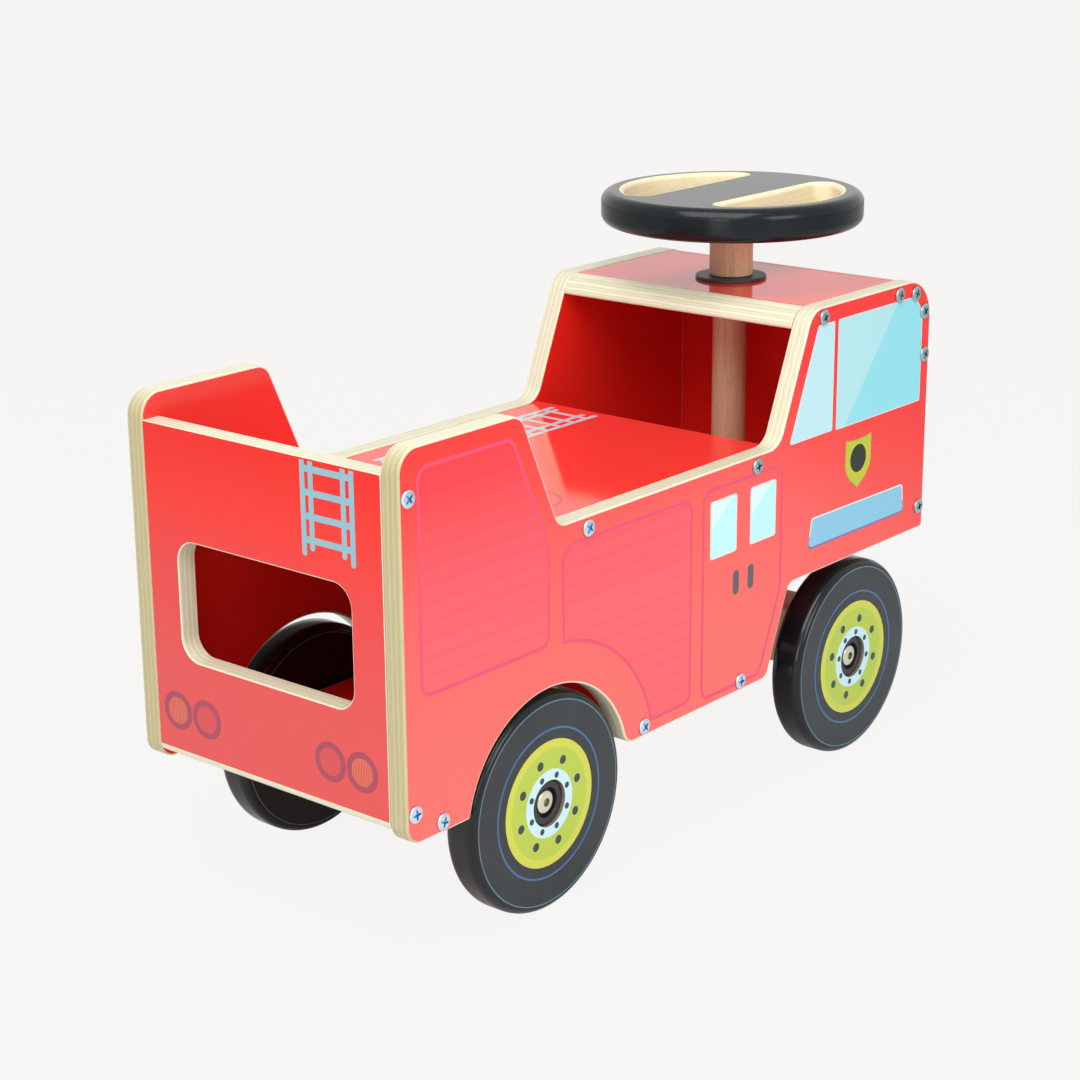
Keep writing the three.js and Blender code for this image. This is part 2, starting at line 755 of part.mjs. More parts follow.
function steeringWheel() {
  const bottom = steeringWheelTop - steeringWheelThickness;
  const fillet = Array.from({ length: rimFilletSteps + 1 }, (_, i) => {
    const angle = quarterTurn * i / rimFilletSteps;
    return [steeringRimFillet * (1 - Math.cos(angle)), steeringRimFillet * (1 - Math.sin(angle))];
  });
  const disc = revolved([
    [0, bottom],
    ...fillet.map(([inward, rise]) => [steeringWheelRadius - inward, bottom + rise]).reverse(),
    ...fillet.map(([inward, drop]) => [steeringWheelRadius - inward, steeringWheelTop - drop]),
    [0, steeringWheelTop],
  ], steeringWheelSides).rotateX(quarterTurn);
  const socket = rod(columnBoreRadius, wheelSocketDepth + cutOverrun, columnSides)
    .rotateX(quarterTurn)
    .translate(0, 0, bottom + (wheelSocketDepth - cutOverrun) / 2);
  const screwBore = hubScrew(runningClearance, 0, cutOverrun);
  return cutAway(disc, [...slotCutters(), socket, screwBore]);
}

// Countersunk screw through the hub, its head just below the face; grown and run out, it is its bore
function hubScrew(grow, sink, overrun) {
  const head = hubScrewHeadDiameter / 2 + grow;
  const shank = hubScrewDiameter / 2 + grow;
  const face = steeringWheelTop - sink;
  const mouth = overrun > 0 ? [[head, face + overrun], [0, face + overrun]] : [[0, face]];
  return revolved([
    [0, face - hubScrewLength],
    [shank, face - hubScrewLength],
    [shank, face - hubScrewHeadHeight],
    [head, face],
    ...mouth,
  ], screwSides).rotateX(quarterTurn);
}

function steeringSet() {
  const group = new THREE.Group();
  group.position.set(columnX, 0, 0);
  const upperSeat = roofTop + jointGap + roofBushFlangeThickness + jointGap;
  const lowerSeat = boardBottom - 2 * jointGap - roofBushFlangeThickness;
  const sleeveBore = columnBoreRadius;
  const sleeveRadius = sleeveDiameter / 2;
  const upperLength = steeringWheelTop - steeringWheelThickness - jointGap - upperSeat;
  const lowerLength = lowerSeat - beamTop - jointGap;
  group.add(meshOf('steering_wheel', steeringWheel(), blackPaint));
  group.add(meshOf('steering_wheel_screw', hubScrew(0, jointGap, 0), blackPlastic));
  group.add(meshOf('steering_column', steeringColumn(), beech));
  group.add(meshOf('column_sleeve_upper',
    uprightTube(sleeveRadius, sleeveBore, upperLength, columnSides).translate(0, 0, upperSeat), beech));
  group.add(meshOf('column_sleeve_lower',
    uprightTube(sleeveRadius, sleeveBore, lowerLength, columnSides).translate(0, 0, beamTop + jointGap), beech));
  group.add(meshOf('front_axle_beam', frontAxleBeam(), pine));
  group.add(meshOf('column_cross_bolt', crossBolt(), zinc));
  group.add(meshOf('front_axle', axle(frontWheelFace).translate(0, 0, axleHeight), zinc));
  return group;
}

function columnBushes() {
  const group = new THREE.Group();
  const roofBush = meshOf('roof_bush', flangedBush(panelThickness + jointGap), blackPlastic);
  roofBush.position.set(columnX, 0, roofTop + jointGap);
  const boardBush = meshOf('steering_board_bush', flangedBush(panelThickness + jointGap), blackPlastic);
  boardBush.rotation.x = Math.PI;
  boardBush.position.set(columnX, 0, boardBottom - jointGap);
  group.add(roofBush, boardBush);
  return group;
}

function bodyPanels() {
  const group = new THREE.Group();
  group.add(meshOf('left_side_panel', sidePanel(1), redFilm));
  group.add(meshOf('right_side_panel', sidePanel(-1), redFilm));
  group.add(meshOf('rear_panel', rearPanel(), redFilm));
  group.add(meshOf('seat_deck', seatDeck(), redFilm));
  group.add(meshOf('floor_panel', floorPanel(), redFilm));
  group.add(meshOf('roof_panel', roofPanel(), redFilm));
  group.add(meshOf('roof_corner_block', cornerBlock(), redPaint));
  group.add(meshOf('front_panel', frontPanel(), redFilm));
  group.add(meshOf('steering_board', steeringBoard(), redFilm));
  group.add(meshOf('rear_axle_block', rearAxleBlock(), pine));
  const rearAxle = axle(rearWheelFace).translate(rearAxleX, 0, axleHeight);
  group.add(meshOf('rear_axle', rearAxle, zinc));
  return group;
}

function fireEngine() {
  const group = new THREE.Group();
  group.name = 'fire_engine';
  group.add(bodyPanels());
  group.add(panelScrews());
  group.add(columnBushes());
  group.add(steeringSet());
  group.add(wheelSet('rear_left', rearAxleX, 1, rearWheelFace));
  group.add(wheelSet('rear_right', rearAxleX, -1, rearWheelFace));
  group.add(wheelSet('front_left', columnX, 1, frontWheelFace));
  group.add(wheelSet('front_right', columnX, -1, frontWheelFace));
  return group;
}

export default fireEngine();
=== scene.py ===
from math import acos, asin, atan2, ceil, cos, hypot, pi, radians, sin, sqrt, tan

import bpy
from mathutils import Matrix, Vector


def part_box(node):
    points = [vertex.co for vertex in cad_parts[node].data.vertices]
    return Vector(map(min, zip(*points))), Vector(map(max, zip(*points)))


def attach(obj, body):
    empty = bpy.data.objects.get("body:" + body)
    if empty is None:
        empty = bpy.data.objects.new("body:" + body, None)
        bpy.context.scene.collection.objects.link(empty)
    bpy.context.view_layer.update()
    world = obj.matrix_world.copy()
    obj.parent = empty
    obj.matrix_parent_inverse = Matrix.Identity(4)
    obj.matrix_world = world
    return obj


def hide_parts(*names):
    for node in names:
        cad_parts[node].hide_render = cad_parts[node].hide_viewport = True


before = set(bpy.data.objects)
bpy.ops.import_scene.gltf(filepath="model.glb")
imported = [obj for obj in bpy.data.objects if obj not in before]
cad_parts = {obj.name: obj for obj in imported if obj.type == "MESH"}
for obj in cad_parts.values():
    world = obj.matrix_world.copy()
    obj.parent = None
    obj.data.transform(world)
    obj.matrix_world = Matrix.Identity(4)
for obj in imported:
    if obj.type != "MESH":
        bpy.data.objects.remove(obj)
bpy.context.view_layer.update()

mm = 0.001
rear_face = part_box("left_side_panel")[0].x


# Camera. It stands behind the right rear corner, a little above the roof, as the photographer did.
# Its place and lens come from fitting the four wheels and the edges of the boards.
camera_turn = radians(-49.907)
camera_rise = radians(17.216)
camera_roll = radians(-0.484)
back = Vector((sin(camera_turn) * cos(camera_rise),
               -cos(camera_turn) * cos(camera_rise), sin(camera_rise)))
level = Vector((0, 0, 1)).cross(back).normalized()
upright = back.cross(level)
across = cos(camera_roll) * level + sin(camera_roll) * upright
above = cos(camera_roll) * upright - sin(camera_roll) * level
camera_place = (rear_face - 0.83845, -0.90320, 0.60987)
bpy.ops.object.camera_add()
camera = bpy.context.object
camera.name = "photo_camera"
camera.data.sensor_width = 36
camera.data.lens = 79.190
camera.matrix_world = Matrix((
    (across.x, above.x, back.x, camera_place[0]),
    (across.y, above.y, back.y, camera_place[1]),
    (across.z, above.z, back.z, camera_place[2]),
    (0, 0, 0, 1)))
bpy.context.scene.camera = camera
bpy.context.scene.view_settings.view_transform = "Standard"


# Floor and lights. A pale sweep with a faint shadow, a broad softbox overhead, one above the
# photographer, one low behind and one beside the toy, and a white room that the film reflects.
def fed(tree, socket, value):
    """Gives a socket its value: another node's output, a colour or a number."""
    if isinstance(value, bpy.types.NodeSocket):
        tree.links.new(value, socket)
    elif isinstance(value, tuple):
        socket.default_value = (*value, 1)
    else:
        socket.default_value = value


def reckoned(tree, operation, *values):
    node = tree.nodes.new("ShaderNodeMath")
    node.operation = operation
    for socket, value in zip(node.inputs, values):
        fed(tree, socket, value)
    return node.outputs[0]


def backdrop_share(tree, seen_share, mirrored_share):
    """How much of the backdrop a ray gets: seen by the camera, mirrored in a shiny or clear surface."""
    path = tree.nodes.new("ShaderNodeLightPath")
    total = reckoned(tree, "MULTIPLY", path.outputs["Is Camera Ray"], seen_share)
    for kind in ("Is Glossy Ray", "Is Transmission Ray"):
        part = reckoned(tree, "MULTIPLY", path.outputs[kind], mirrored_share)
        total = reckoned(tree, "MAXIMUM", total, part)
    return total


backdrop_colour = (0.930, 0.922, 0.905, 1)
bpy.ops.mesh.primitive_plane_add(size=12, location=(0, 0, 0))
floor = bpy.context.object
floor.name = "studio_floor"
floor_paint = bpy.data.materials.new("studio_floor_paper")
floor_paint.use_nodes = True
tree = floor_paint.node_tree
paper = tree.nodes["Principled BSDF"]
paper.inputs["Base Color"].default_value = (0.86, 0.86, 0.85, 1)
paper.inputs["Roughness"].default_value = 0.9
paper.inputs["Specular IOR Level"].default_value = 0.1
glow = tree.nodes.new("ShaderNodeEmission")
glow.inputs["Color"].default_value = backdrop_colour
mixed = tree.nodes.new("ShaderNodeMixShader")
tree.links.new(backdrop_share(tree, 0.97, 0.20), mixed.inputs["Fac"])
tree.links.new(paper.outputs[0], mixed.inputs[1])
tree.links.new(glow.outputs[0], mixed.inputs[2])
tree.links.new(mixed.outputs[0], tree.nodes["Material Output"].inputs["Surface"])
floor.data.materials.append(floor_paint)

world = bpy.context.scene.world or bpy.data.worlds.new("studio")
bpy.context.scene.world = world
world.use_nodes = True
tree = world.node_tree
tree.nodes.clear()
room = tree.nodes.new("ShaderNodeBackground")
room.inputs["Color"].default_value = (0.96, 0.98, 1.0, 1)
room.inputs["Strength"].default_value = 0.44
backdrop = tree.nodes.new("ShaderNodeBackground")
backdrop.inputs["Color"].default_value = backdrop_colour
backdrop.inputs["Strength"].default_value = 1.0
mixed = tree.nodes.new("ShaderNodeMixShader")
result = tree.nodes.new("ShaderNodeOutputWorld")
tree.links.new(backdrop_share(tree, 1, 1), mixed.inputs["Fac"])
tree.links.new(room.outputs[0], mixed.inputs[1])
tree.links.new(backdrop.outputs[0], mixed.inputs[2])
tree.links.new(mixed.outputs[0], result.inputs["Surface"])

for name, place, aim, size, power in (
        ("overhead_softbox", (-0.9, -0.35, 1.7), (0, 0, 0.2), 1.6, 35),
        ("photographer_softbox", (-1.71, -1.34, 1.0), (0, 0, 0.2), 0.7, 2),
        ("low_softbox", (-1.70, -0.85, 0.45), (0, 0, 0.2), 0.5, 3),
        ("side_softbox", (-0.2, -2.0, 0.9), (0, 0, 0.2), 1.0, 11)):
    bpy.ops.object.light_add(type="AREA", location=place)
    lamp = bpy.context.object
    lamp.name = name
    lamp.data.size = size
    lamp.data.energy = power
    lamp.rotation_mode = "QUATERNION"
    lamp.rotation_quaternion = (Vector(aim) - Vector(place)).to_track_quat("-Z", "Y")


# Side boards. Two birch plywood cheeks, faced with printed red film, their cut edges left natural
# and rounded over. One outline is drawn with its rounded corners and wheel arch, then thickened.
def look(name, colour, roughness, metallic=0.0):
    material = bpy.data.materials.new(name)
    material.use_nodes = True
    shader = material.node_tree.nodes["Principled BSDF"]
    shader.inputs["Base Color"].default_value = (*colour, 1)
    shader.inputs["Roughness"].default_value = roughness
    shader.inputs["Metallic"].default_value = metallic
    return material, material.node_tree, shader


def noise(tree, scale, stretch=(1, 1, 1), detail=4.0, distortion=0.0):
    place = tree.nodes.new("ShaderNodeTexCoord")
    mapping = tree.nodes.new("ShaderNodeMapping")
    mapping.inputs["Scale"].default_value = stretch
    texture = tree.nodes.new("ShaderNodeTexNoise")
    texture.inputs["Scale"].default_value = scale
    texture.inputs["Detail"].default_value = detail
    texture.inputs["Distortion"].default_value = distortion
    tree.links.new(place.outputs["Object"], mapping.inputs["Vector"])
    tree.links.new(mapping.outputs[0], texture.inputs["Vector"])
    return texture.outputs[0]


def ramp(tree, source, stops, interpolation="LINEAR"):
    colours = tree.nodes.new("ShaderNodeValToRGB")
    colours.color_ramp.interpolation = interpolation
    while len(colours.color_ramp.elements) < len(stops):
        colours.color_ramp.elements.new(0.5)
    for element, (position, colour) in zip(colours.color_ramp.elements, stops):
        element.position = position
        element.color = (*colour, 1)
    tree.links.new(source, colours.inputs["Fac"])
    return colours.outputs["Color"]


def blended(tree, kind, amount, first, second):
    mix = tree.nodes.new("ShaderNodeMix")
    mix.data_type = "RGBA"
    mix.blend_type = kind
    for key, value in (("Factor", amount), ("A", first), ("B", second)):
        fed(tree, mix.inputs[key], value)
    return mix.outputs["Result"]


def ranged(tree, source, low, high, start=0.0, end=1.0):
    spread = tree.nodes.new("ShaderNodeMapRange")
    spread.inputs["From Min"].default_value = start
    spread.inputs["From Max"].default_value = end
    spread.inputs["To Min"].default_value = low
    spread.inputs["To Max"].default_value = high
    tree.links.new(source, spread.inputs["Value"])
    return spread.outputs["Result"]


def roughened(tree, shader, source, strength, depth):
    bump = tree.nodes.new("ShaderNodeBump")
    bump.inputs["Strength"].default_value = strength
    bump.inputs["Distance"].default_value = depth
    tree.links.new(source, bump.inputs["Height"])
    tree.links.new(bump.outputs["Normal"], shader.inputs["Normal"])


def placed_in(tree):
    """The X, Y and Z of the surface in the object's own coordinates."""
    place = tree.nodes.new("ShaderNodeTexCoord")
    parts = tree.nodes.new("ShaderNodeSeparateXYZ")
    tree.links.new(place.outputs["Object"], parts.inputs[0])
    return parts.outputs


def film_look(name, colour, shade, painted_sheen=(), gloss=0.65):
    """Glossy printed film. Its painted_sheen stops paint a sheen: the film stays pinker low down and turns
    deeper red towards the roof's edge, sooner over the nose.
    """
    material, tree, shader = look(name, colour, 0.2)
    cloud = noise(tree, 9, detail=3)
    grain = noise(tree, 900, detail=2)
    tint = blended(tree, "MIX", ranged(tree, cloud, 0.0, 0.6), colour, shade)
    fine = blended(tree, "MIX", ranged(tree, grain, 0.0, 0.25), tint, shade)
    # Painted sheen: the colour is multiplied down from pale pink near the sill to deep red near the roof's
    # edge, more so towards the nose.
    if painted_sheen:
        place = placed_in(tree)
        height = ranged(tree, place["Z"], 0, 1, sill, roof_edge)
        ahead = ranged(tree, place["X"], 0, nose_share, sheen_start, nose)
        depth = ramp(tree, reckoned(tree, "ADD", height, ahead), painted_sheen)
        fine = blended(tree, "MULTIPLY", 1.0, fine, depth)
    tree.links.new(fine, shader.inputs["Base Color"])
    tree.links.new(ranged(tree, noise(tree, 45, detail=5), 0.06, 0.12), shader.inputs["Roughness"])
    peel = noise(tree, 260, detail=3)
    roughened(tree, shader, peel, 0.05, 0.0002)
    shader.inputs["Specular IOR Level"].default_value = gloss
    return material


sheets, most_stops = 7, 30
line_share, body_share = 0.012, 0.035
edge_shade_start, edge_shade_end = 1.5 * mm, 14 * mm


def ply_look(name, axis, start, depth, mirrored=False, rear_edge_shade=False):
    material, tree, shader = look(name, (0.8, 0.7, 0.45), 0.35)
    place = placed_in(tree)
    along = place[axis]
    if mirrored:
        along = reckoned(tree, "ABSOLUTE", along)
    waver = ranged(tree, noise(tree, 22, detail=3), -0.05 * depth, 0.05 * depth)
    moved = reckoned(tree, "ADD", along, waver)
    level = ranged(tree, moved, 0, 1, start, start + depth)
    pale, mid, buff, line = (0.74, 0.72, 0.56), (0.71, 0.69, 0.51), (0.68, 0.65, 0.46), (0.56, 0.50, 0.33)
    stops = []
    for sheet in range(sheets):
        low, high = sheet / sheets, (sheet + 1) / sheets
        body = (pale, buff)[sheet % 2]
        edge = (mid, line)[sheet % 2]
        stops += [(low + line_share, edge), (low + body_share, body), (high - body_share, body),
                  (high - line_share, edge)]
    layers = ramp(tree, level, stops[:most_stops])
    stretch = [55, 55, 55]
    stretch["XYZ".index(axis)] = 1500
    fibre = noise(tree, 1, tuple(stretch), detail=6, distortion=0.4)
    pores = noise(tree, 1400, detail=2)
    streaked = blended(tree, "MULTIPLY", 0.55, layers,
                       ramp(tree, fibre, [(0.30, (0.80, 0.76, 0.67)), (0.50, (1.0, 1.0, 1.0)),
                                          (0.75, (0.92, 0.90, 0.84))]))
    flecked = blended(tree, "MULTIPLY", 0.5, streaked,
                      ramp(tree, pores, [(0.30, (0.70, 0.63, 0.50)), (0.40, (1.0, 1.0, 1.0))]))
    # Painted shade: the ply edge is darkened at the rear face, fading out 14 mm forward.
    if rear_edge_shade:
        tail = ranged(tree, place["X"], 1, 0, rear_face + edge_shade_start, rear_face + edge_shade_end)
        flecked = blended(tree, "MULTIPLY", tail, flecked, (0.70, 0.64, 0.48))
    tree.links.new(flecked, shader.inputs["Base Color"])
    tree.links.new(ranged(tree, fibre, 0.26, 0.42), shader.inputs["Roughness"])
    roughened(tree, shader, fibre, 0.25, 0.0003)
    return material


def arc(centre, radius, start, end, step=radians(4)):
    count = max(2, ceil(abs(end - start) / step))
    angles = [start + (end - start) * i / count for i in range(count + 1)]
    return [(centre[0] + radius * cos(a), centre[1] + radius * sin(a)) for a in angles]


def corner_arcs(corners, step=radians(4)):
    arcs = []
    for i, (x, z, radius) in enumerate(corners):
        if radius == 0:
            arcs.append([(x, z)])
            continue
        here = Vector((x, z))
        before = (Vector(corners[i - 1][:2]) - here).normalized()
        after = (Vector(corners[(i + 1) % len(corners)][:2]) - here).normalized()
        half = before.angle(after) / 2
        centre = here + (before + after).normalized() * radius / sin(half)
        reach = radius / tan(half)
        first, last = here + before * reach - centre, here + after * reach - centre
        start = atan2(first.y, first.x)
        sweep = (atan2(last.y, last.x) - start + pi) % (2 * pi) - pi
        arcs.append(arc(centre, radius, start, start + sweep, step))
    return arcs


def outline_of(corners, step=radians(4)):
    """The outline whose corners are (across, up, rounding)."""
    return [point for each in corner_arcs(corners, step) for point in each]


def circle(across, up, radius):
    return arc((across, up), radius, 0, 2 * pi)[:-1]


def drawn(name, points, fill):
    """A closed line through the points, filled or not."""
    bpy.ops.object.select_all(action="DESELECT")
    bpy.ops.mesh.primitive_circle_add(vertices=len(points), fill_type=fill)
    piece = bpy.context.object
    piece.name = name
    for vertex, point in zip(piece.data.vertices, points):
        vertex.co = point
    return piece


def board(name, outline, axis, start, thickness):
    """An outline thickened along an axis, from start. Its points are in the other two axes, in order."""
    fixed = "XYZ".index(axis)
    piece = drawn(name, [(*point[:fixed], start, *point[fixed:]) for point in outline], "NGON")
    shift = [0, 0, 0]
    shift[fixed] = thickness
    bpy.ops.object.mode_set(mode="EDIT")
    bpy.ops.mesh.select_all(action="SELECT")
    bpy.ops.mesh.extrude_region_move(TRANSFORM_OT_translate={"value": shift})
    bpy.ops.mesh.select_all(action="SELECT")
    bpy.ops.mesh.normals_make_consistent(inside=False)
    bpy.ops.object.mode_set(mode="OBJECT")
    return piece


def picked(*pieces):
    bpy.ops.object.select_all(action="DESELECT")
    for piece in pieces:
        piece.select_set(True)
    bpy.context.view_layer.objects.active = pieces[0]


def worked(piece, kind, **settings):
    picked(piece)
    modifier = piece.modifiers.new(kind.lower(), kind)
    for key, value in settings.items():
        setattr(modifier, key, value)
    bpy.ops.object.modifier_apply(modifier=modifier.name)
    return piece


def cut_by(piece, cutter):
    worked(piece, "BOOLEAN", operation="DIFFERENCE", solver="EXACT", object=cutter)
    bpy.data.objects.remove(cutter)
    return piece


def rounded_over(piece, radius, segments=4, angle=radians(35)):
    worked(piece, "BEVEL", width=radius, segments=segments, limit_method="ANGLE", angle_limit=angle,
           use_clamp_overlap=False)
    return piece


def smoothed(piece):
    picked(piece)
    bpy.ops.object.shade_smooth_by_angle(angle=radians(35))
    worked(piece, "WEIGHTED_NORMAL", keep_sharp=True)
    return piece


def painted(piece, *materials):
    for material in materials:
        piece.data.materials.append(material)
    return piece


straight = 0.999


def faced(piece, axis, film, edge):
    """Film on the faces that look straight along the axis, bare edge everywhere else."""
    painted(piece, film, edge)
    fixed = "XYZ".index(axis)
    for face in piece.data.polygons:
        face.material_index = 0 if abs(face.normal[fixed]) > straight else 1


def seated(piece, body, node):
    """Hangs a piece on the body that it rides on and hides the solid that it stands for."""
    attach(piece, body)
    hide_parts(node)


def filmed(piece, axis, film, edge, node):
    faced(smoothed(piece), axis, film, edge)
    seated(piece, "chassis", node)


def dressed(piece, material, body, node):
    painted(smoothed(piece), material)
    seated(piece, body, node)


def on_side(corners):
    """Corners on a side board, given in millimetres from the rear face and from the ground."""
    return [(rear_face + x * mm, z * mm, r * mm) for x, z, r in corners]


ply = 12.5 * mm
arris = 1.1 * mm
outer_face = 104 * mm
inner_face = outer_face - ply
sill = 80.5 * mm
cab_sill = 137.5 * mm
roof_edge = 310 * mm
nose = rear_face + 515 * mm
# Where the painted sheen on the film starts to give way towards the nose, and how far.
sheen_start = rear_face + 309 * mm
nose_share = 0.45
red_film = film_look("red_film", (0.80, 0.022, 0.014), (0.75, 0.016, 0.010))
# The side boards' outer faces get a pinker copy of the film; the pink, fading out towards the roof's edge, is
# a painted sheen.
side_film_painted_sheen = film_look("side_film_painted_sheen", (0.92, 0.115, 0.100), (0.86, 0.095, 0.082), [
    (0.20, (1.0, 1.0, 1.0)), (0.45, (1.0, 0.80, 0.78)), (0.60, (1.0, 0.66, 0.66)), (0.77, (1.0, 0.30, 0.25)),
    (0.90, (1.0, 0.14, 0.06)), (1.0, (0.98, 0.02, 0.01))])
# The side boards' ply edges carry painted shade at the rear face.
side_ply_and_shade = ply_look("side_ply_edge", "Y", inner_face, ply, mirrored=True, rear_edge_shade=True)
side_corners = on_side([
    (0, 80.5, 11), (332, 80.5, 8), (355.3, 137.5, 8), (515, 137.5, 3), (515, 310, 27), (374.6, 310, 16),
    (340.8, 229.5, 14), (127.4, 229.5, 10), (96.2, 299, 12), (0, 299, 14)])
wheel_radius = 66 * mm
rear_axle_x = rear_face + 119 * mm
arch_radius = wheel_radius + 4.6 * mm


def arch_fillet(direction, radius):
    height = sill + radius
    away = sqrt((arch_radius + radius) ** 2 - (height - wheel_radius) ** 2)
    centre = (rear_axle_x + direction * away, height)
    to_arch = atan2(wheel_radius - height, -direction * away)
    return centre, to_arch


tail_foot, *other_arcs = corner_arcs(side_corners)
rear_fillet, front_fillet = 2 * mm, 9 * mm
rear_centre, rear_turn = arch_fillet(-1, rear_fillet)
front_centre, front_turn = arch_fillet(1, front_fillet)
arch_start = atan2(rear_centre[1] - wheel_radius, rear_centre[0] - rear_axle_x)
arch_end = atan2(front_centre[1] - wheel_radius, front_centre[0] - rear_axle_x)
side_outline = (tail_foot
                + arc(rear_centre, rear_fillet, -pi / 2, rear_turn, radians(18))
                + arc((rear_axle_x, wheel_radius), arch_radius, arch_start, arch_end)[1:-1]
                + arc(front_centre, front_fillet, front_turn - (2 * pi if front_turn > 0 else 0),
                      -pi / 2)
                + [point for each in other_arcs for point in each])
for side, start in (("left", inner_face), ("right", -outer_face)):
    panel = board(side + "_side_board", side_outline, "Y", start, ply)
    rounded_over(panel, arris)
    faced(smoothed(panel), "Y", red_film, side_ply_and_shade)
    # The outer faces take the copy of the film with the painted sheen.
    painted(panel, side_film_painted_sheen)
    for face in panel.data.polygons:
        if face.material_index == 0 and abs(face.center.y) > (inner_face + outer_face) / 2:
            face.material_index = 2
    seated(panel, "chassis", side + "_side_panel")


# Rear board. It closes the tail between the side boards and has a rounded hand hole cut through it.
# The same filmed plywood, with its own plies showing round the hole, on top and underneath.
def oblong(left, right, low, high, *rounding):
    """An oblong's four corners, each with the rounding if there is one."""
    return [(*corner, *rounding) for corner in ((left, low), (right, low), (right, high), (left, high))]


between = inner_face - 0.2 * mm
rear_ply = ply_look("rear_ply_edge", "X", rear_face, ply)
rear_low, rear_high = 86.6 * mm, 284.5 * mm
# The rear board's copy of the film holds painted sheen and painted shade: darker and pinker low down, deep
# red near the top.
rear_film = film_look("rear_film", (0.80, 0.070, 0.067), (0.75, 0.060, 0.056), [
    (0.25, (0.84, 1.0, 1.0)), (0.55, (0.89, 0.60, 0.60)), (0.70, (0.98, 0.37, 0.23)),
    (0.86, (0.94, 0.13, 0.04))], 0.4)
foot_round = 5.2 * mm
rear_profile = arc((rear_face + foot_round, rear_low + foot_round), foot_round, pi, 1.5 * pi,
                   radians(6))
rear_profile += [(rear_face + ply, rear_low), (rear_face + ply, rear_high), (rear_face, rear_high)]
rear_board = board("rear_board", rear_profile, "Y", -between, 2 * between)
rounded_over(rear_board, 0.4 * mm, 3)
hole_half, hole_low, hole_high, hole_round = 67.4 * mm, 148.7 * mm, 219.5 * mm, 13.2 * mm
hole_corners = oblong(-hole_half, hole_half, hole_low, hole_high, hole_round)
cut_by(rear_board, board("hand_hole", outline_of(hole_corners), "X", rear_face - ply, 3 * ply))
rounded_over(rear_board, 0.7 * mm, angle=radians(60))
filmed(rear_board, "X", rear_film, rear_ply, "rear_panel")


# Boards between the sides: the seat deck, the floor with a bay beside each rear wheel, the front
# board and the board that steadies the column. All are filmed plywood with lightly eased edges.
deck_front = rear_face + 343 * mm
deck_top = 228.5 * mm
inside = rear_face + ply + 0.2 * mm
ease = 0.7 * mm
deck_ply = ply_look("deck_ply_edge", "Z", deck_top - ply, ply)
deck = board("seat_board", oblong(inside, deck_front, -between, between), "Z", deck_top - ply, ply)
rounded_over(deck, ease, 3)
# A brighter copy of the red film for the seat deck: painted light on the lit top.
deck_film_painted_light = film_look("deck_film_painted_light", (0.95, 0.050, 0.040), (0.91, 0.040, 0.032))
filmed(deck, "Z", deck_film_painted_light, deck_ply, "seat_deck")

floor_front = rear_face + 320 * mm
bay_rear, bay_front, bay_side = rear_axle_x - 74 * mm, rear_axle_x + 74 * mm, inner_face - 13.5 * mm
sharp, soft = 1 * mm, 9 * mm
floor_corners = [(inside, -between, sharp), (bay_rear, -between, sharp), (bay_rear, -bay_side, soft),
                 (bay_front, -bay_side, soft), (bay_front, -between, sharp), (floor_front, -between, sharp)]
floor_corners += [(x, -y, r) for x, y, r in reversed(floor_corners)]
floor_ply = ply_look("floor_ply_edge", "Z", sill, ply)
bay_floor = board("bay_floor_board", outline_of(floor_corners), "Z", sill, ply)
rounded_over(bay_floor, ease, 3)
filmed(bay_floor, "Z", red_film, floor_ply, "floor_panel")

front_ply = ply_look("front_ply_edge", "X", nose - ply, ply)
front_top = 282.8 * mm
front_board = board("front_board", oblong(-between, between, cab_sill, front_top), "X", nose - ply, ply)
rounded_over(front_board, 0.2 * mm, 2)
filmed(front_board, "X", red_film, front_ply, "front_panel")

column_x = rear_face + 433 * mm
board_low = cab_sill + 0.5 * mm
board_rear, board_front = rear_face + 357.3 * mm, nose - ply - 0.2 * mm
column_ply = ply_look("steering_ply_edge", "Z", board_low, ply)
column_board = board("column_board", oblong(board_rear, board_front, -between, between), "Z", board_low, ply)
hole_reach = 13.95 * mm
cut_by(column_board, board("column_hole", circle(column_x, 0, hole_reach), "Z", board_low - ply, 3 * ply))
rounded_over(column_board, ease, 3)
filmed(column_board, "Z", red_film, column_ply, "steering_board")


# Roof. A short filmed board with a large round-over along its rear edge, following the slant of the
# sides, and a solid red lacquered quarter-round that closes the corner above the front board.
roof_top, roof_low = 309.4 * mm, 296.9 * mm
lean = (374.6 - 340.8) / (310 - 229.5)
block_rear = rear_face + 488 * mm
cab_rear = rear_face + 374.6 * mm
roof_corners = [
    (cab_rear - lean * (roof_edge - roof_low), roof_low, 1.5 * mm),
    (block_rear - 0.2 * mm, roof_low, 0.7 * mm), (block_rear - 0.2 * mm, roof_top, 0.7 * mm),
    (cab_rear - lean * (roof_edge - roof_top), roof_top, 15.4 * mm)]
roof_ply = ply_look("roof_ply_edge", "Z", roof_low, ply)
roof = board("roof_board", outline_of(roof_corners), "Y", -between, 2 * between)
cut_by(roof, board("bush_hole", circle(column_x, 0, hole_reach), "Z", roof_low - ply, 3 * ply))
filmed(roof, "Z", red_film, roof_ply, "roof_panel")

red_lacquer = film_look("red_lacquer", (0.84, 0.018, 0.014), (0.72, 0.010, 0.008))
block_centre = (block_rear, 283 * mm)
quarter = [block_centre] + arc(block_centre, 26.4 * mm, 0, pi / 2)
corner_block = board("corner_block", quarter, "Y", -between, 2 * between)
rounded_over(corner_block, 0.5 * mm, 2, radians(50))
dressed(corner_block, red_lacquer, "chassis", "roof_corner_block")


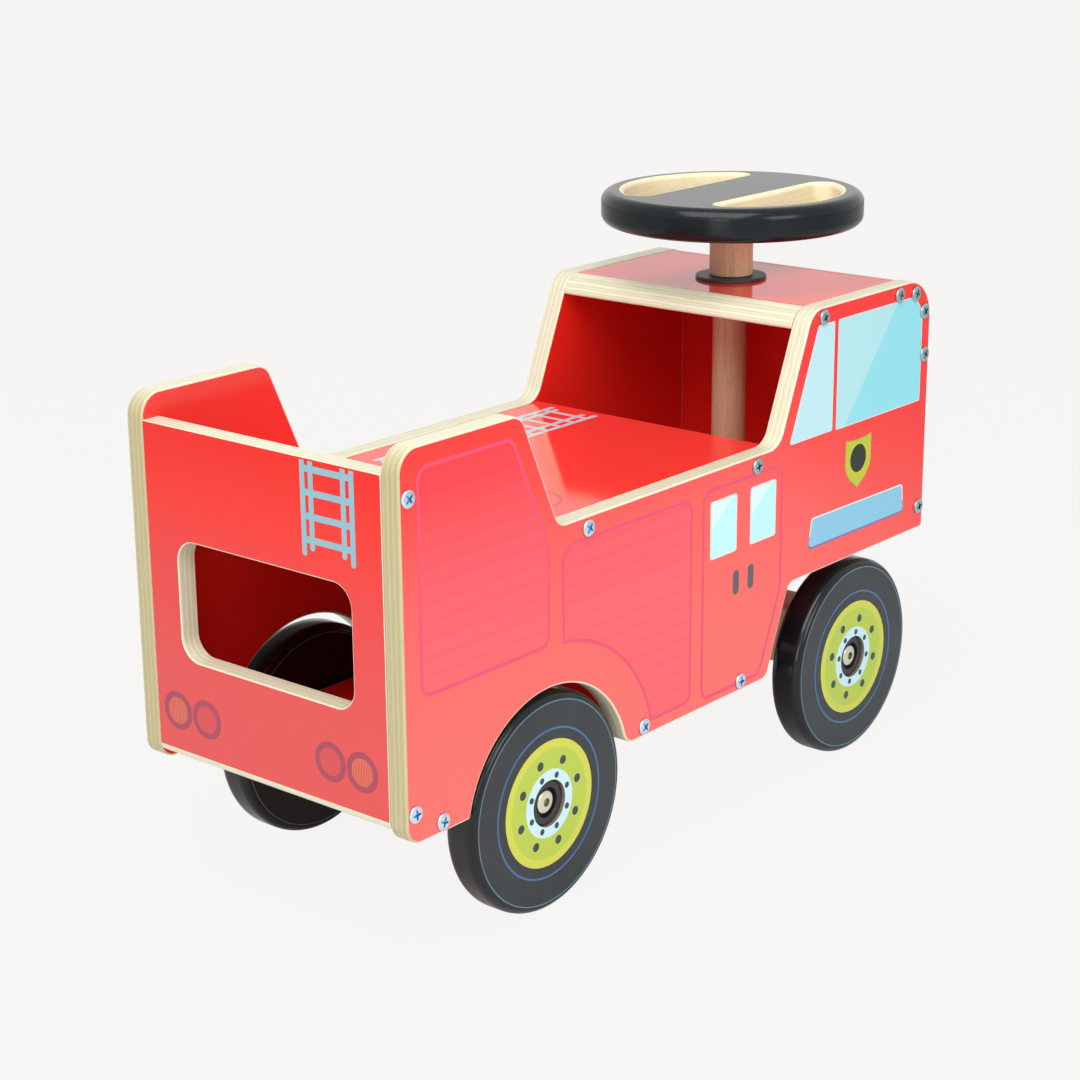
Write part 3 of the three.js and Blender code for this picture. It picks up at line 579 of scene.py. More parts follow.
# Column and its sleeves. A clear lacquered beech dowel in loose beech sleeves, running in two black
# flanged bushes, one in the roof and one in the board below. All are turned shapes.
def turned(name, profile, centre, axis, steps=64):
    """A closed profile of (radius, along) spun round the line through centre along the axis."""
    middle = Vector(centre)
    run = {"X": Vector((1, 0, 0)), "Y": Vector((0, 1, 0)), "Z": Vector((0, 0, 1))}[axis]
    out = {"X": Vector((0, 0, 1)), "Y": Vector((1, 0, 0)), "Z": Vector((1, 0, 0))}[axis]
    piece = drawn(name, [middle + out * radius + run * along for radius, along in profile], "NOTHING")
    bpy.ops.object.mode_set(mode="EDIT")
    bpy.ops.mesh.select_all(action="SELECT")
    bpy.ops.mesh.spin(steps=steps, angle=2 * pi, center=middle, axis=run)
    bpy.ops.mesh.select_all(action="SELECT")
    bpy.ops.mesh.remove_doubles(threshold=0.000002)
    bpy.ops.mesh.delete_loose(use_verts=True, use_edges=True, use_faces=False)
    bpy.ops.mesh.select_all(action="SELECT")
    bpy.ops.mesh.normals_make_consistent(inside=False)
    bpy.ops.object.mode_set(mode="OBJECT")
    return piece


def grained_look(name, pale, dark, fleck, stretch, roughness):
    material, tree, shader = look(name, pale, roughness)
    figure = noise(tree, 1, stretch, detail=5, distortion=0.8)
    fine = noise(tree, 1, tuple(value * 5 for value in stretch), detail=3)
    body = ramp(tree, figure, [(0.25, dark), (0.5, pale), (0.8, tuple(c * 1.06 for c in pale))])
    marked = blended(tree, "MULTIPLY", 0.7, body,
                     ramp(tree, fine, [(0.33, fleck), (0.42, (1.0, 1.0, 1.0))]))
    tree.links.new(marked, shader.inputs["Base Color"])
    tree.links.new(ranged(tree, fine, roughness - 0.08, roughness + 0.12), shader.inputs["Roughness"])
    roughened(tree, shader, fine, 0.12, 0.0002)
    return material


def plastic_look(name, colour, roughness, gloss=0.5, stretch=(700, 700, 700), dimples=0.15, lift=1.5):
    material, tree, shader = look(name, colour, roughness)
    spark = noise(tree, 1, stretch, detail=3)
    tree.links.new(blended(tree, "MIX", ranged(tree, spark, 0, 0.4), colour,
                           tuple(c * lift for c in colour)), shader.inputs["Base Color"])
    tree.links.new(ranged(tree, spark, roughness - 0.05, roughness + 0.05), shader.inputs["Roughness"])
    roughened(tree, shader, spark, dimples, 0.0002)
    shader.inputs["Specular IOR Level"].default_value = gloss
    return material


def metal_look(name, colour, shade, roughness):
    material, tree, shader = look(name, colour, roughness, 1.0)
    cloud = noise(tree, 380, detail=4)
    tree.links.new(blended(tree, "MIX", ranged(tree, cloud, 0, 0.8), colour, shade),
                   shader.inputs["Base Color"])
    tree.links.new(ranged(tree, cloud, roughness - 0.06, roughness + 0.1), shader.inputs["Roughness"])
    roughened(tree, shader, cloud, 0.08, 0.0002)
    return material


beech = grained_look("beech_dowel", (0.64, 0.40, 0.24), (0.54, 0.31, 0.175), (0.72, 0.58, 0.46),
                     (420, 420, 26), 0.36)
black_plastic = plastic_look("black_bush_plastic", (0.012, 0.012, 0.013), 0.42)
zinc = metal_look("zinc_plate", (0.68, 0.78, 0.83), (0.42, 0.54, 0.62), 0.26)
wheel_top, wheel_under = 368 * mm, 346 * mm
beam_top = 96 * mm
dowel_radius, sleeve_radius, bore_radius = 11.6 * mm, 14.35 * mm, 11.9 * mm
column_low, column_high = beam_top - 19.8 * mm, wheel_under + 13.8 * mm
rim_step = radians(30)
dowel_rim, sleeve_rim, bore_rim = 0.8 * mm, 0.7 * mm, 0.3 * mm
on_column = (column_x, 0, 0)
column_profile = outline_of([(0, column_low, 0), (dowel_radius, column_low, dowel_rim),
                             (dowel_radius, column_high, dowel_rim), (0, column_high, 0)], rim_step)
column = turned("beech_column", column_profile, on_column, "Z")
dressed(column, beech, "steering", "steering_column")
for name, low, high in (("upper", 311.8 * mm, wheel_under - 0.2 * mm),
                        ("lower", beam_top + 0.2 * mm, 135.6 * mm)):
    profile = outline_of([(bore_radius, low, bore_rim), (sleeve_radius, low, sleeve_rim),
                          (sleeve_radius, high, sleeve_rim), (bore_radius, high, bore_rim)], rim_step)
    sleeve = turned(name + "_sleeve", profile, on_column, "Z")
    dressed(sleeve, beech, "steering", "column_sleeve_" + name)
for name, node, face, direction in (("roof_flange", "roof_bush", 309.6 * mm, 1),
                                    ("board_flange", "steering_board_bush", 137.8 * mm, -1)):
    flange, barrel, lip = 23.4 * mm, 13.75 * mm, 0.6 * mm
    deep, proud = -12.7 * mm, 2 * mm
    profile = outline_of([(bore_radius, deep, 0), (barrel, deep, 0), (barrel, 0, 0), (flange, 0, 0),
                          (flange, proud, lip), (bore_radius, proud, lip)], rim_step)
    bush = turned(name, [(r, face + direction * a) for r, a in profile], on_column, "Z")
    dressed(bush, black_plastic, "chassis", node)


# Steering wheel. A thick turned disc of pale wood, lacquered black before two hand slots were cut
# and rounded over, so the slots show bare wood. One small screw holds it to the column.
wheel_reach, rim_round = 86 * mm, 7 * mm
disc = arc((column_x, 0), wheel_reach, 0, 2 * pi, pi / 64)[:-1]
steering_wheel = board("steering_disc", disc, "Z", wheel_under, wheel_top - wheel_under)
rounded_over(steering_wheel, rim_round, 8)
slot_inner, slot_outer, slot_end, slot_round = 27.5 * mm, 71 * mm, 8 * mm, 3 * mm
end_y = slot_inner + slot_end
end_x = sqrt((slot_outer - slot_end) ** 2 - end_y ** 2)
slant = atan2(end_y, end_x)
slot_points = (arc((end_x, end_y), slot_end, -pi / 2, slant, radians(8))
               + arc((0, 0), slot_outer, slant, pi - slant, radians(3))[1:-1]
               + arc((-end_x, end_y), slot_end, pi - slant, 1.5 * pi, radians(8)))
for direction in (1, -1):
    slot_outline = [(column_x + direction * x, direction * y) for x, y in slot_points]
    cut_by(steering_wheel, board("hand_slot", slot_outline, "Z", wheel_under - ply, 4 * ply))
rounded_over(steering_wheel, slot_round, 5, radians(60))
cut_by(steering_wheel, board("column_socket", circle(column_x, 0, bore_radius), "Z", wheel_under - ply,
                             ply + 14 * mm))


def slot_depth(x, y):
    """How far a point lies outside the slot's wall; negative inside the slot."""
    x, y = abs(x - column_x), abs(y)
    if x > end_x and atan2(y, x) < slant:
        return hypot(x - end_x, y - end_y) - slot_end
    return max(slot_inner - y, hypot(x, y) - slot_outer)


black_lacquer = plastic_look("black_lacquer", (0.004, 0.007, 0.009), 0.16, 0.26, (420, 420, 1500), 0.5)
bare_wood = grained_look("bare_slot_wood", (0.82, 0.77, 0.52), (0.74, 0.66, 0.39), (0.90, 0.84, 0.70),
                         (30, 420, 420), 0.5)
painted(smoothed(steering_wheel), black_lacquer, bare_wood)
for face in steering_wheel.data.polygons:
    level_face = abs(face.normal.z) > straight
    if not level_face and slot_depth(face.center.x, face.center.y) < slot_round:
        face.material_index = 1
seated(steering_wheel, "steering", "steering_wheel")

screw_profile = [(r * mm, z * mm) for r, z in (
    (0, 333.8), (2, 333.8), (2, 364.8), (4.5, 367.6), (4.2, 367.8), (0, 367.8))]
hub_screw = turned("hub_screw", screw_profile, on_column, "Z", 32)
cross_turn = 0.6
cross_reach, cross_half, cross_floor = 2.4 * mm, 0.45 * mm, 366.4 * mm
for turn in (cross_turn, cross_turn + pi / 2):
    cross = [(column_x + x * cos(turn) - y * sin(turn), x * sin(turn) + y * cos(turn))
             for x, y in ((cross_reach, cross_half), (-cross_reach, cross_half),
                          (-cross_reach, -cross_half), (cross_reach, -cross_half))]
    cut_by(hub_screw, board("driver_slot", cross, "Z", cross_floor, 3 * mm))
dressed(hub_screw, black_lacquer, "steering", "steering_wheel_screw")


# Wheels. Turned wood, lacquered black, with a printed face of rings and dots, a black flanged bush
# and a button-head bolt into the axle's end. One of each is made for the right rear and copied.
wheel_wide = 21.5 * mm
rear_wheel_face, front_wheel_face = 102.5 * mm, 104 * mm
shoulder_rise, shoulder_run = 4.4 * mm, 6 * mm
flat_face = wheel_radius - shoulder_rise
bush_bore, recess_radius, recess_deep = 10.2 * mm, 14 * mm, 5.1 * mm


def shoulder(face_at, inward):
    points = []
    for i in range(9):
        turn = pi / 2 * i / 8
        points.append((flat_face + shoulder_rise * sin(turn),
                       face_at + inward * shoulder_run * (1 - cos(turn))))
    return points


outer_at, back_at = 0.0, wheel_wide
wheel_profile = ([(bush_bore, back_at), (bush_bore, recess_deep), (recess_radius, recess_deep),
                  (recess_radius, outer_at)]
                 + shoulder(outer_at, 1) + list(reversed(shoulder(back_at, -1))))
tyre_black = plastic_look("tyre_lacquer", (0.005, 0.006, 0.007), 0.12, 0.34, (500, 90, 500), 0.03)
face_black = plastic_look("wheel_face_print", (0.006, 0.009, 0.011), 0.24, 0.38, (30, 30, 30), 0.02, 8)
# The bare wood in the hub recess, darkened and greyed: wood colour with painted shade in the hollow.
recess_wood_and_shade = grained_look("recess_wood_and_shade", (0.22, 0.18, 0.13), (0.14, 0.12, 0.09), (0.7, 0.6, 0.4),
                           (90, 300, 90), 0.5)
nickel = metal_look("nickel_plate", (0.74, 0.73, 0.60), (0.54, 0.53, 0.43), 0.22)
# A darker copy of the nickel for the hex socket's inside: painted shade in the hollow.
socket_shade_nickel = metal_look("bolt_socket_painted_shade", (0.44, 0.43, 0.34), (0.28, 0.27, 0.21), 0.3)


def copied(piece, name):
    twin = piece.copy()
    twin.data = piece.data.copy()
    twin.name = name
    bpy.context.scene.collection.objects.link(twin)
    return twin


def placed(piece, name, x, side, face, spin=0.0):
    """Copies a piece made round the origin, outer face at zero, to a wheel's place on one side."""
    twin = copied(piece, name)
    turn = Matrix.Rotation(pi if side == "left" else 0, 4, "Z") @ Matrix.Rotation(spin, 4, "Y")
    sign = 1 if side == "left" else -1
    twin.data.transform(Matrix.Translation((x, sign * face, wheel_radius)) @ turn)
    return twin


wheel = turned("wheel_blank", wheel_profile, (0, 0, 0), "Y", 128)
painted(smoothed(wheel), tyre_black, face_black, recess_wood_and_shade)
for face in wheel.data.polygons:
    centre = face.center
    radius = hypot(centre.x, centre.z)
    if centre.y < 0.01 * mm and radius < flat_face:
        face.material_index = 1
    elif radius < recess_radius * 1.001:
        face.material_index = 2

bush_profile = outline_of([(r * mm, y * mm, rim * mm) for r, y, rim in (
    (6.3, 22.5, 0), (6.3, 5, 0), (9, 5, 0), (9, 1.7, 0.6), (13.5, 1.7, 0.8), (13.5, 4.9, 0),
    (10, 4.9, 0), (10, 22.5, 0))], rim_step)
wheel_bush = turned("bush_blank", bush_profile, (0, 0, 0), "Y", 64)
painted(smoothed(wheel_bush), black_plastic)

head_under, head_radius, head_high, crown = 4.4 * mm, 7 * mm, 2.4 * mm, 1.3 * mm
dome = [(head_radius * cos(pi / 2 * i / 7) ** 0.6, head_under - (head_high - crown)
         - crown * sin(pi / 2 * i / 7)) for i in range(7)]
bolt_profile = ([(0, head_under + 22 * mm), (4 * mm, head_under + 22 * mm), (4 * mm, head_under),
                 (head_radius, head_under)] + dome + [(0, head_under - head_high)])
wheel_bolt = turned("bolt_blank", bolt_profile, (0, 0, 0), "Y", 48)
key_reach = 2.6 * mm
hexagon = [(key_reach * cos(pi / 3 * i), key_reach * sin(pi / 3 * i)) for i in range(6)]
cut_by(wheel_bolt, board("hex_key", hexagon, "Y", 0, head_under - 0.2 * mm))
painted(smoothed(wheel_bolt), nickel, socket_shade_nickel)
# The socket's inner faces take the darker nickel: painted shade.
for face in wheel_bolt.data.polygons:
    centre = face.center
    if hypot(centre.x, centre.z) < key_reach + 0.05 * mm and centre.y < head_under:
        face.material_index = 1


def flat_ring(inner, outer, face, steps=128):
    depth = 0.06 * mm
    return turned("ring", [(inner, face - depth), (outer, face - depth), (outer, face + depth),
                           (inner, face + depth)], (0, 0, 0), "Y", steps)


def flat_dot(x, z, radius, face):
    depth = 0.05 * mm
    points = [(x + radius * cos(a * pi / 16), z + radius * sin(a * pi / 16))
              for a in range(32)]
    return board("dot", points, "Y", face - depth, 2 * depth)


def ink_look(name, colour, roughness=0.2, gloss=0.45):
    material, tree, shader = look(name, colour, roughness)
    speck = noise(tree, 500, detail=3)
    tree.links.new(blended(tree, "MIX", ranged(tree, speck, 0, 0.35), colour,
                           tuple(c * 0.86 for c in colour)), shader.inputs["Base Color"])
    tree.links.new(ranged(tree, speck, roughness - 0.06, roughness + 0.06), shader.inputs["Roughness"])
    shader.inputs["Specular IOR Level"].default_value = gloss
    return material


def joined(name, parts):
    picked(*parts)
    bpy.ops.object.join()
    parts[0].name = name
    return parts[0]


rim_blue = ink_look("rim_line_ink", (0.09, 0.22, 0.28))
ring_blue = ink_look("ring_ink", (0.03, 0.13, 0.30))
wheel_yellow = ink_look("wheel_yellow_ink", (0.58, 0.61, 0.055))
wheel_lime = ink_look("wheel_lime_ink", (0.44, 0.56, 0.05))
hub_blue = ink_look("hub_ink", (0.55, 0.78, 0.88))
dot_ink = ink_look("dot_ink", (0.020, 0.036, 0.048))
prints = []
for inner, outer, ink in ((60.7, 61.3, rim_blue), (44.2, 45.4, ring_blue), (33.2, 38.2, wheel_yellow),
                          (20.5, 33.2, wheel_lime), (14.05, 20.5, hub_blue)):
    prints.append(painted(flat_ring(inner * mm, outer * mm, 0), ink))
prints.append(painted(flat_ring(60.8 * mm, 61.2 * mm, wheel_wide), rim_blue))
for count, reach, radius, offset in ((8, 26.1, 2.7, 0.3), (8, 16.9, 1.9, 0.3875)):
    for i in range(count):
        angle = offset + 2 * pi * i / count
        dot = flat_dot(reach * mm * cos(angle), reach * mm * sin(angle), radius * mm, -0.05 * mm)
        prints.append(painted(dot, dot_ink))
wheel_print = joined("wheel_print_blank", prints)

for end, x, face in (("rear", rear_axle_x, rear_wheel_face), ("front", column_x, front_wheel_face)):
    for side in ("left", "right"):
        where = f"{end}_{side}"
        rolling, holder = where + "_rolling", "chassis" if end == "rear" else "steering"
        for blank, name, slot, node, body in (
                (wheel, "wheel_disc", "printed_wheel", "wheel", rolling),
                (wheel_bush, "wheel_sleeve", "black_plastic", "wheel_bush", rolling),
                (wheel_bolt, "button_bolt", "nickel", "wheel_bolt", holder)):
            piece = placed(blank, f"{where}_{name}", x, side, face)
            seated(piece, body, f"{where}_{node}")
        spin = 0 if end == "rear" else radians(-12.8)
        ink = placed(wheel_print, where + "_face_print", x, side, face, spin)
        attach(ink, rolling)
for blank in (wheel, wheel_bush, wheel_bolt, wheel_print):
    bpy.data.objects.remove(blank)


# Screws. Zinc-plated pan heads with a cross recess, thirteen in each side, into the boards' middles.
# One is turned, its cross is cut, and it is copied with the cross at a different angle each time.
screw_face = outer_face + 0.2 * mm
head = 5.0 * mm
screw_profile = [(0, -34 * mm), (2.2 * mm, -33 * mm), (2.2 * mm, 0), (head, 0), (head, 0.5 * mm)]
screw_profile += [(head * cos(t) ** 0.5, 0.5 * mm + 0.9 * mm * sin(t)) for t in
                  (pi / 2 * i / 8 for i in range(1, 8))]
screw_profile += [(0, 1.4 * mm)]
screw = turned("screw_blank", screw_profile, (0, 0, 0), "Y", 40)
# The cross recess is painted darker and bluer: painted shade in the hollow.
recess = metal_look("screw_recess", (0.10, 0.32, 0.60), (0.16, 0.46, 0.76), 0.3)
painted(screw, zinc, recess)
# Darker copies of the zinc and its recess for the cab's screws: painted shade where the heads catch no
# softbox.
cab_zinc_shade = metal_look("zinc_plate_painted_shade", (0.44, 0.56, 0.57), (0.28, 0.40, 0.42), 0.3)
cab_recess_shade = metal_look("dull_screw_recess", (0.08, 0.26, 0.32), (0.12, 0.36, 0.44), 0.3)
tip, tip_half, waist = 3.1 * mm, 0.38 * mm, 0.85 * mm
cross = []
for quarter in range(4):
    for u, v in ((tip, -tip_half), (tip, tip_half), (waist, waist)):
        turn = pi / 2 * quarter
        cross.append((u * cos(turn) - v * sin(turn), u * sin(turn) + v * cos(turn)))
cut_by(screw, board("cross", cross, "Y", 0.3 * mm, 4 * mm))
smoothed(screw)
for face in screw.data.polygons:
    centre = face.center
    if hypot(centre.x, centre.z) < 3.3 * mm and 0.2 * mm < centre.y < 1.2 * mm:
        face.material_index = 1
screw_places = {}
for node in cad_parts:
    if node.endswith("_screw") and node != "steering_wheel_screw":
        low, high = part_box(node)
        screw_places[node] = ((low.x + high.x) / 2, (low.z + high.z) / 2)
for number, (node, (x, z)) in enumerate(sorted(screw_places.items())):
    side = 1 if node.startswith("left") else -1
    piece = copied(screw, node.replace("_screw", "_pan_head"))
    twist = Matrix.Rotation(radians(37 * number % 90), 4, "Y")
    turn = Matrix.Rotation(0 if side > 0 else pi, 4, "Z")
    piece.data.transform(Matrix.Translation((x, side * screw_face, z)) @ turn @ twist)
    # The cab's screws take the darker copies: painted shade.
    if x > rear_face + 250 * mm and z > cab_sill:
        piece.data.materials[0] = cab_zinc_shade
        piece.data.materials[1] = cab_recess_shade
    seated(piece, "chassis", node)
bpy.data.objects.remove(screw)


# Running gear underneath. Softwood beam and block, bored for 12 mm zinc-plated axles, and the cross
# bolt that ties the column's foot to the beam.
pine = grained_look("pine_beam", (0.72, 0.54, 0.31), (0.60, 0.40, 0.20), (0.8, 0.66, 0.48),
                    (160, 14, 160), 0.55)
beam_low, beam_half, beam_side, beam_round = 55 * mm, 81.3 * mm, 17 * mm, 3 * mm
beam_corners = oblong(column_x - beam_side, column_x + beam_side, beam_low, beam_top, beam_round)
beam = board("front_beam", outline_of(beam_corners), "Y", -beam_half, 2 * beam_half)
axle_bore, bolt_bore, through = 6.3 * mm, 3.3 * mm, 0.2
bolt_height = beam_top - 9.5 * mm
cut_by(beam, board("beam_bore", circle(column_x, wheel_radius, axle_bore), "Y", -through, 2 * through))
cut_by(beam, board("beam_socket", circle(column_x, 0, bore_radius), "Z", beam_top - 20 * mm, through / 2))
cut_by(beam, board("bolt_bore", circle(0, bolt_height, bolt_bore), "X", column_x - through / 2, through))
rounded_over(beam, 0.5 * mm, 2, radians(60))
dressed(beam, pine, "steering", "front_axle_beam")

block_half, block_side = rear_wheel_face - wheel_wide - 1.2 * mm, 22 * mm
block_top, shelf, block_foot = sill - 0.2 * mm, sill - 9.2 * mm, 9.5 * mm
block_outline = [(rear_axle_x + block_side, shelf), (rear_axle_x + block_side, block_top),
                 (rear_axle_x - block_side, block_top), (rear_axle_x - block_side, shelf)]
block_outline += arc((rear_axle_x, wheel_radius), block_foot, -pi, 0, radians(8))
block = board("rear_block", block_outline, "Y", -block_half, 2 * block_half)
cut_by(block, board("block_bore", circle(rear_axle_x, wheel_radius, axle_bore), "Y", -through, 2 * through))
rounded_over(block, 0.5 * mm, 2, radians(60))
dressed(block, pine, "chassis", "rear_axle_block")


def both_ends(profile):
    """A profile from one end to the middle, followed by its mirror image."""
    return profile + [(radius, -along) for radius, along in reversed(profile)]


rod_radius, rod_rim, rod_bore = 6 * mm, 0.5 * mm, 4.3 * mm
for name, node, x, face, body in (("rear_rod", "rear_axle", rear_axle_x, rear_wheel_face, "chassis"),
                                  ("front_rod", "front_axle", column_x, front_wheel_face, "steering")):
    half = face - 4.6 * mm
    bored = half - 24 * mm
    profile = both_ends([(0, -bored), (rod_bore, -bored), (rod_bore, -half), (rod_radius - rod_rim, -half),
                         (rod_radius, -half + rod_rim)])
    dressed(turned(name, profile, (x, 0, wheel_radius), "Y", 48), zinc, body, node)

bolt_half = 17.2 * mm
bolt_end = both_ends([(0, -bolt_half - 3 * mm), (3 * mm, -bolt_half - 3 * mm), (5 * mm, -bolt_half - 2 * mm),
                      (6 * mm, -bolt_half), (3 * mm, -bolt_half)])
cross_bolt = turned("foot_bolt", bolt_end, (column_x, 0, bolt_height), "X", 40)
dressed(cross_bolt, zinc, "steering", "column_cross_bolt")


# Prints on the film. Locker and door outlines, windows, handles, a plate and a shield on both sides,
# tail lamps, two ladders, a ring on the deck, and a windscreen with lamps in front. They are flat
# shapes a hair thick, bedded in the film.
def striped(tree, axis, scale, stops):
    """Bands of colour that follow each other along an axis."""
    wave = tree.nodes.new("ShaderNodeTexWave")
    wave.bands_direction = axis
    wave.inputs["Scale"].default_value = scale
    tree.links.new(tree.nodes.new("ShaderNodeTexCoord").outputs["Object"], wave.inputs["Vector"])
    return ramp(tree, wave.outputs["Color"], stops)


bed = 0.06 * mm
outline_ink = ink_look("outline_ink", (0.76, 0.060, 0.135))
# The locker slats are print; their pink, fading out upwards like the side film's, is a painted sheen.
slat_ink_and_sheen = film_look("locker_slat_ink", (0.92, 0.088, 0.105), (0.86, 0.074, 0.088), [
    (0.40, (1.0, 1.0, 1.0)), (0.63, (1.0, 0.75, 0.85)), (0.77, (1.0, 0.45, 0.50)), (0.84, (1.0, 0.20, 0.30))])
glass_ink = ink_look("window_ink", (0.27, 0.72, 0.80))
shine_ink = ink_look("window_shine_ink", (0.43, 0.75, 0.80))
quarter_ink = ink_look("quarter_window_ink", (0.50, 0.78, 0.84))
door_glass_ink = ink_look("door_window_ink", (0.50, 0.88, 0.92))
door_shine_ink = ink_look("door_shine_ink", (0.70, 0.91, 0.95))
rim_ink = ink_look("window_rim_ink", (0.80, 0.74, 0.74))
handle_ink = ink_look("handle_ink", (0.095, 0.085, 0.09))
plate_ink = ink_look("plate_ink", (0.23, 0.55, 0.74))
white_ink = ink_look("plate_line_ink", (0.80, 0.84, 0.86))
violet_ink = ink_look("plate_shade_ink", (0.17, 0.15, 0.42))
shield_ink = ink_look("shield_ink", (0.51, 0.54, 0.008))
shield_edge_ink = ink_look("shield_edge_ink", (0.40, 0.42, 0.06))
disc_ink = ink_look("shield_disc_ink", (0.010, 0.016, 0.010), gloss=0.3)
tree = slat_ink_and_sheen.node_tree
base = tree.nodes["Principled BSDF"].inputs["Base Color"]
slats = striped(tree, "Z", 31, [(0.12, (0.98, 0.89, 0.94)), (0.35, (1.0, 1.0, 1.0))])
tree.links.new(blended(tree, "MULTIPLY", 1.0, base.links[0].from_socket, slats), base)


def side_print(outline, level, ink):
    """A flat print for the right side, its face level hairs proud of the film."""
    return painted(board("print", outline, "Y", -outer_face - level * bed, 2 * bed), ink)


def inset(outline, width):
    """The same outline, drawn in by width, for the inner edge of a printed line."""
    count = len(outline)
    area = sum(outline[i - 1][0] * outline[i][1] - outline[i][0] * outline[i - 1][1] for i in range(count))
    turn = 1 if area > 0 else -1
    inner = []
    for i in range(count):
        before, here, after = (Vector(outline[j % count]) for j in (i - 1, i, i + 1))
        first, second = (here - before).normalized(), (after - here).normalized()
        normal = (Vector((-first.y, first.x)) + Vector((-second.y, second.x))).normalized() * turn
        stretch = max(0.5, normal.dot(Vector((-first.y, first.x)) * turn))
        inner.append(tuple(here + normal * width / stretch))
    return inner


def side_line(outline, width, ink):
    piece = board("line", outline, "Y", -outer_face - bed, 2 * bed)
    cut_by(piece, board("hole", inset(outline, width), "Y", -outer_face - ply, 2 * ply))
    return painted(piece, ink)


def rounded_on_side(corners):
    return outline_of(on_side(corners))


line_wide = 2.1 * mm
locker_centre = (rear_face + 120 * mm, 66 * mm)
locker_reach = 94.0 * mm
arc_top = acos((130 - 120) * mm / locker_reach)
arc_low = asin((88 - 66) * mm / locker_reach)
rear_locker = rounded_on_side([(13, 161, 8), (119, 161, 8), (119, 221, 34), (89, 288, 9), (13, 288, 9)])
middle_arcs = corner_arcs(on_side([
    (205, 88, 1), (251.5, 88, 7), (251.5, 217.5, 9), (129.5, 217.5, 12), (129.5, 150, 1)]))
middle_locker = ([point for each in middle_arcs[1:4] for point in each]
                 + arc(locker_centre, locker_reach, arc_top, arc_low))
door = rounded_on_side([(261.5, 85, 8), (324, 85, 9), (346, 137, 12), (346, 218.5, 9), (261.5, 218.5, 9)])
side_parts = [side_line(outline, line_wide, outline_ink) for outline in (rear_locker, middle_locker, door)]
for outline in (rear_locker, middle_locker):
    side_parts.append(side_print(inset(outline, line_wide / 2), 0.7, slat_ink_and_sheen))


def window(corners, rim, glass, shine=None, shine_corners=()):
    """A printed window: a pale rim, the glass within it, and a lighter flash across one corner."""
    outline = rounded_on_side(corners)
    side_parts.append(side_print(outline, 1, rim_ink))
    side_parts.append(side_print(inset(outline, rim), 1.5, glass))
    if shine_corners:
        side_parts.append(side_print(rounded_on_side([(x, z, 0.3) for x, z in shine_corners]), 2, shine))


cab_rim, door_rim = 0.6 * mm, 1.1 * mm
window([(352, 228, 1.5), (400, 228, 1.5), (400, 299, 1.5), (381.3, 299, 2.5)], cab_rim, quarter_ink)
window([(404, 227.3, 1.5), (505.3, 227.3, 1.5), (505.3, 299.3, 18), (404, 299.3, 1.5)], cab_rim, glass_ink,
       shine_ink, [(404.7, 228), (414.1, 228), (473.7, 298.6), (404.7, 298.6)])
for left, right in ((269.5, 297), (310.9, 338.5)):
    window(oblong(left, right, 173.5, 210.2, 2.2), door_rim, door_glass_ink, door_shine_ink,
           [(left + 1.3, 192.3), (left + 22.6, 208.9), (left + 1.3, 208.9)])
for ink, level, corners in (
        (white_ink, 1, [(375.4, 154.7, 3), (490.3, 153.9, 3), (487.6, 173.4, 3), (379, 174.6, 3)]),
        (violet_ink, 1.2, [(375.5, 154.2, 3), (490.2, 153.4, 3), (489.1, 161.9, 1), (376.9, 162.7, 1)]),
        (plate_ink, 1.6, [(376.4, 155.5, 2.6), (489.3, 154.7, 2.6), (486.7, 172.5, 2.6),
                          (379.8, 173.7, 2.6)])):
    side_parts.append(side_print(rounded_on_side(corners), level, ink))
for x in (296.9, 312.5):
    handle = rounded_on_side(oblong(x - 3.1, x + 3.1, 145.2, 161, 3))
    side_parts.append(side_print(handle, 1, handle_ink))
shield_middle = 431.7
shield = [(416.6, 217.3), (424, 216.4), (431.7, 216.0), (439.4, 216.4), (446.8, 217.3)]
flank = [(447, 200), (445.6, 195.4), (441, 189.8), (431.7, 183.4)]
shield += flank + [(2 * shield_middle - x, z) for x, z in reversed(flank[:-1])]
shield_outline = rounded_on_side([(x, z, 0) for x, z in shield])
side_parts.append(side_print(shield_outline, 1, shield_edge_ink))
side_parts.append(side_print(inset(shield_outline, 0.8 * mm), 1.5, shield_ink))
shield_disc = circle(rear_face + shield_middle * mm, 203.2 * mm, 9.3 * mm)
side_parts.append(side_print(shield_disc, 2, disc_ink))
right_print = joined("right_side_print", side_parts)
left_print = copied(right_print, "left_side_print")
left_print.data.transform(Matrix.Scale(-1, 4, (0, 1, 0)))
left_print.data.flip_normals()

ladder_ink = ink_look("ladder_ink", (0.24, 0.43, 0.49))
deck_ladder_ink = ink_look("deck_ladder_ink", (0.52, 0.60, 0.68))
rail_wide, rung_step, rung_wide = 3.6, 13.05, 3.7


def ladder(name, ink, axis, level, places, ends, rungs, along_first):
    """A printed ladder: double rails with rounded ends, joined by rungs. Sizes are in millimetres."""
    parts = []
    for rail, end in zip(places, ends):
        low, high = sorted(end)
        parts.append([(rail, low, 1.7), (rail + rail_wide, low, 1.7), (rail + rail_wide, high, 0.2),
                      (rail, high, 0.2)])
    left, right = min(places), max(places) + rail_wide
    for rung in rungs:
        parts.append(oblong(left, right, rung, rung + rung_wide, 0.2))
    pieces = []
    for number, part in enumerate(parts):
        corners = [((v, u, r) if along_first else (u, v, r)) for u, v, r in part]
        outline = outline_of([(u * mm, v * mm, r * mm) for u, v, r in corners])
        rise = bed * (1 if number < len(places) else 0.9)
        bar = board("bar", outline, axis, level - rise if axis == "X" else level - bed, bed + rise)
        pieces.append(painted(bar, ink))
    return joined(name, pieces)


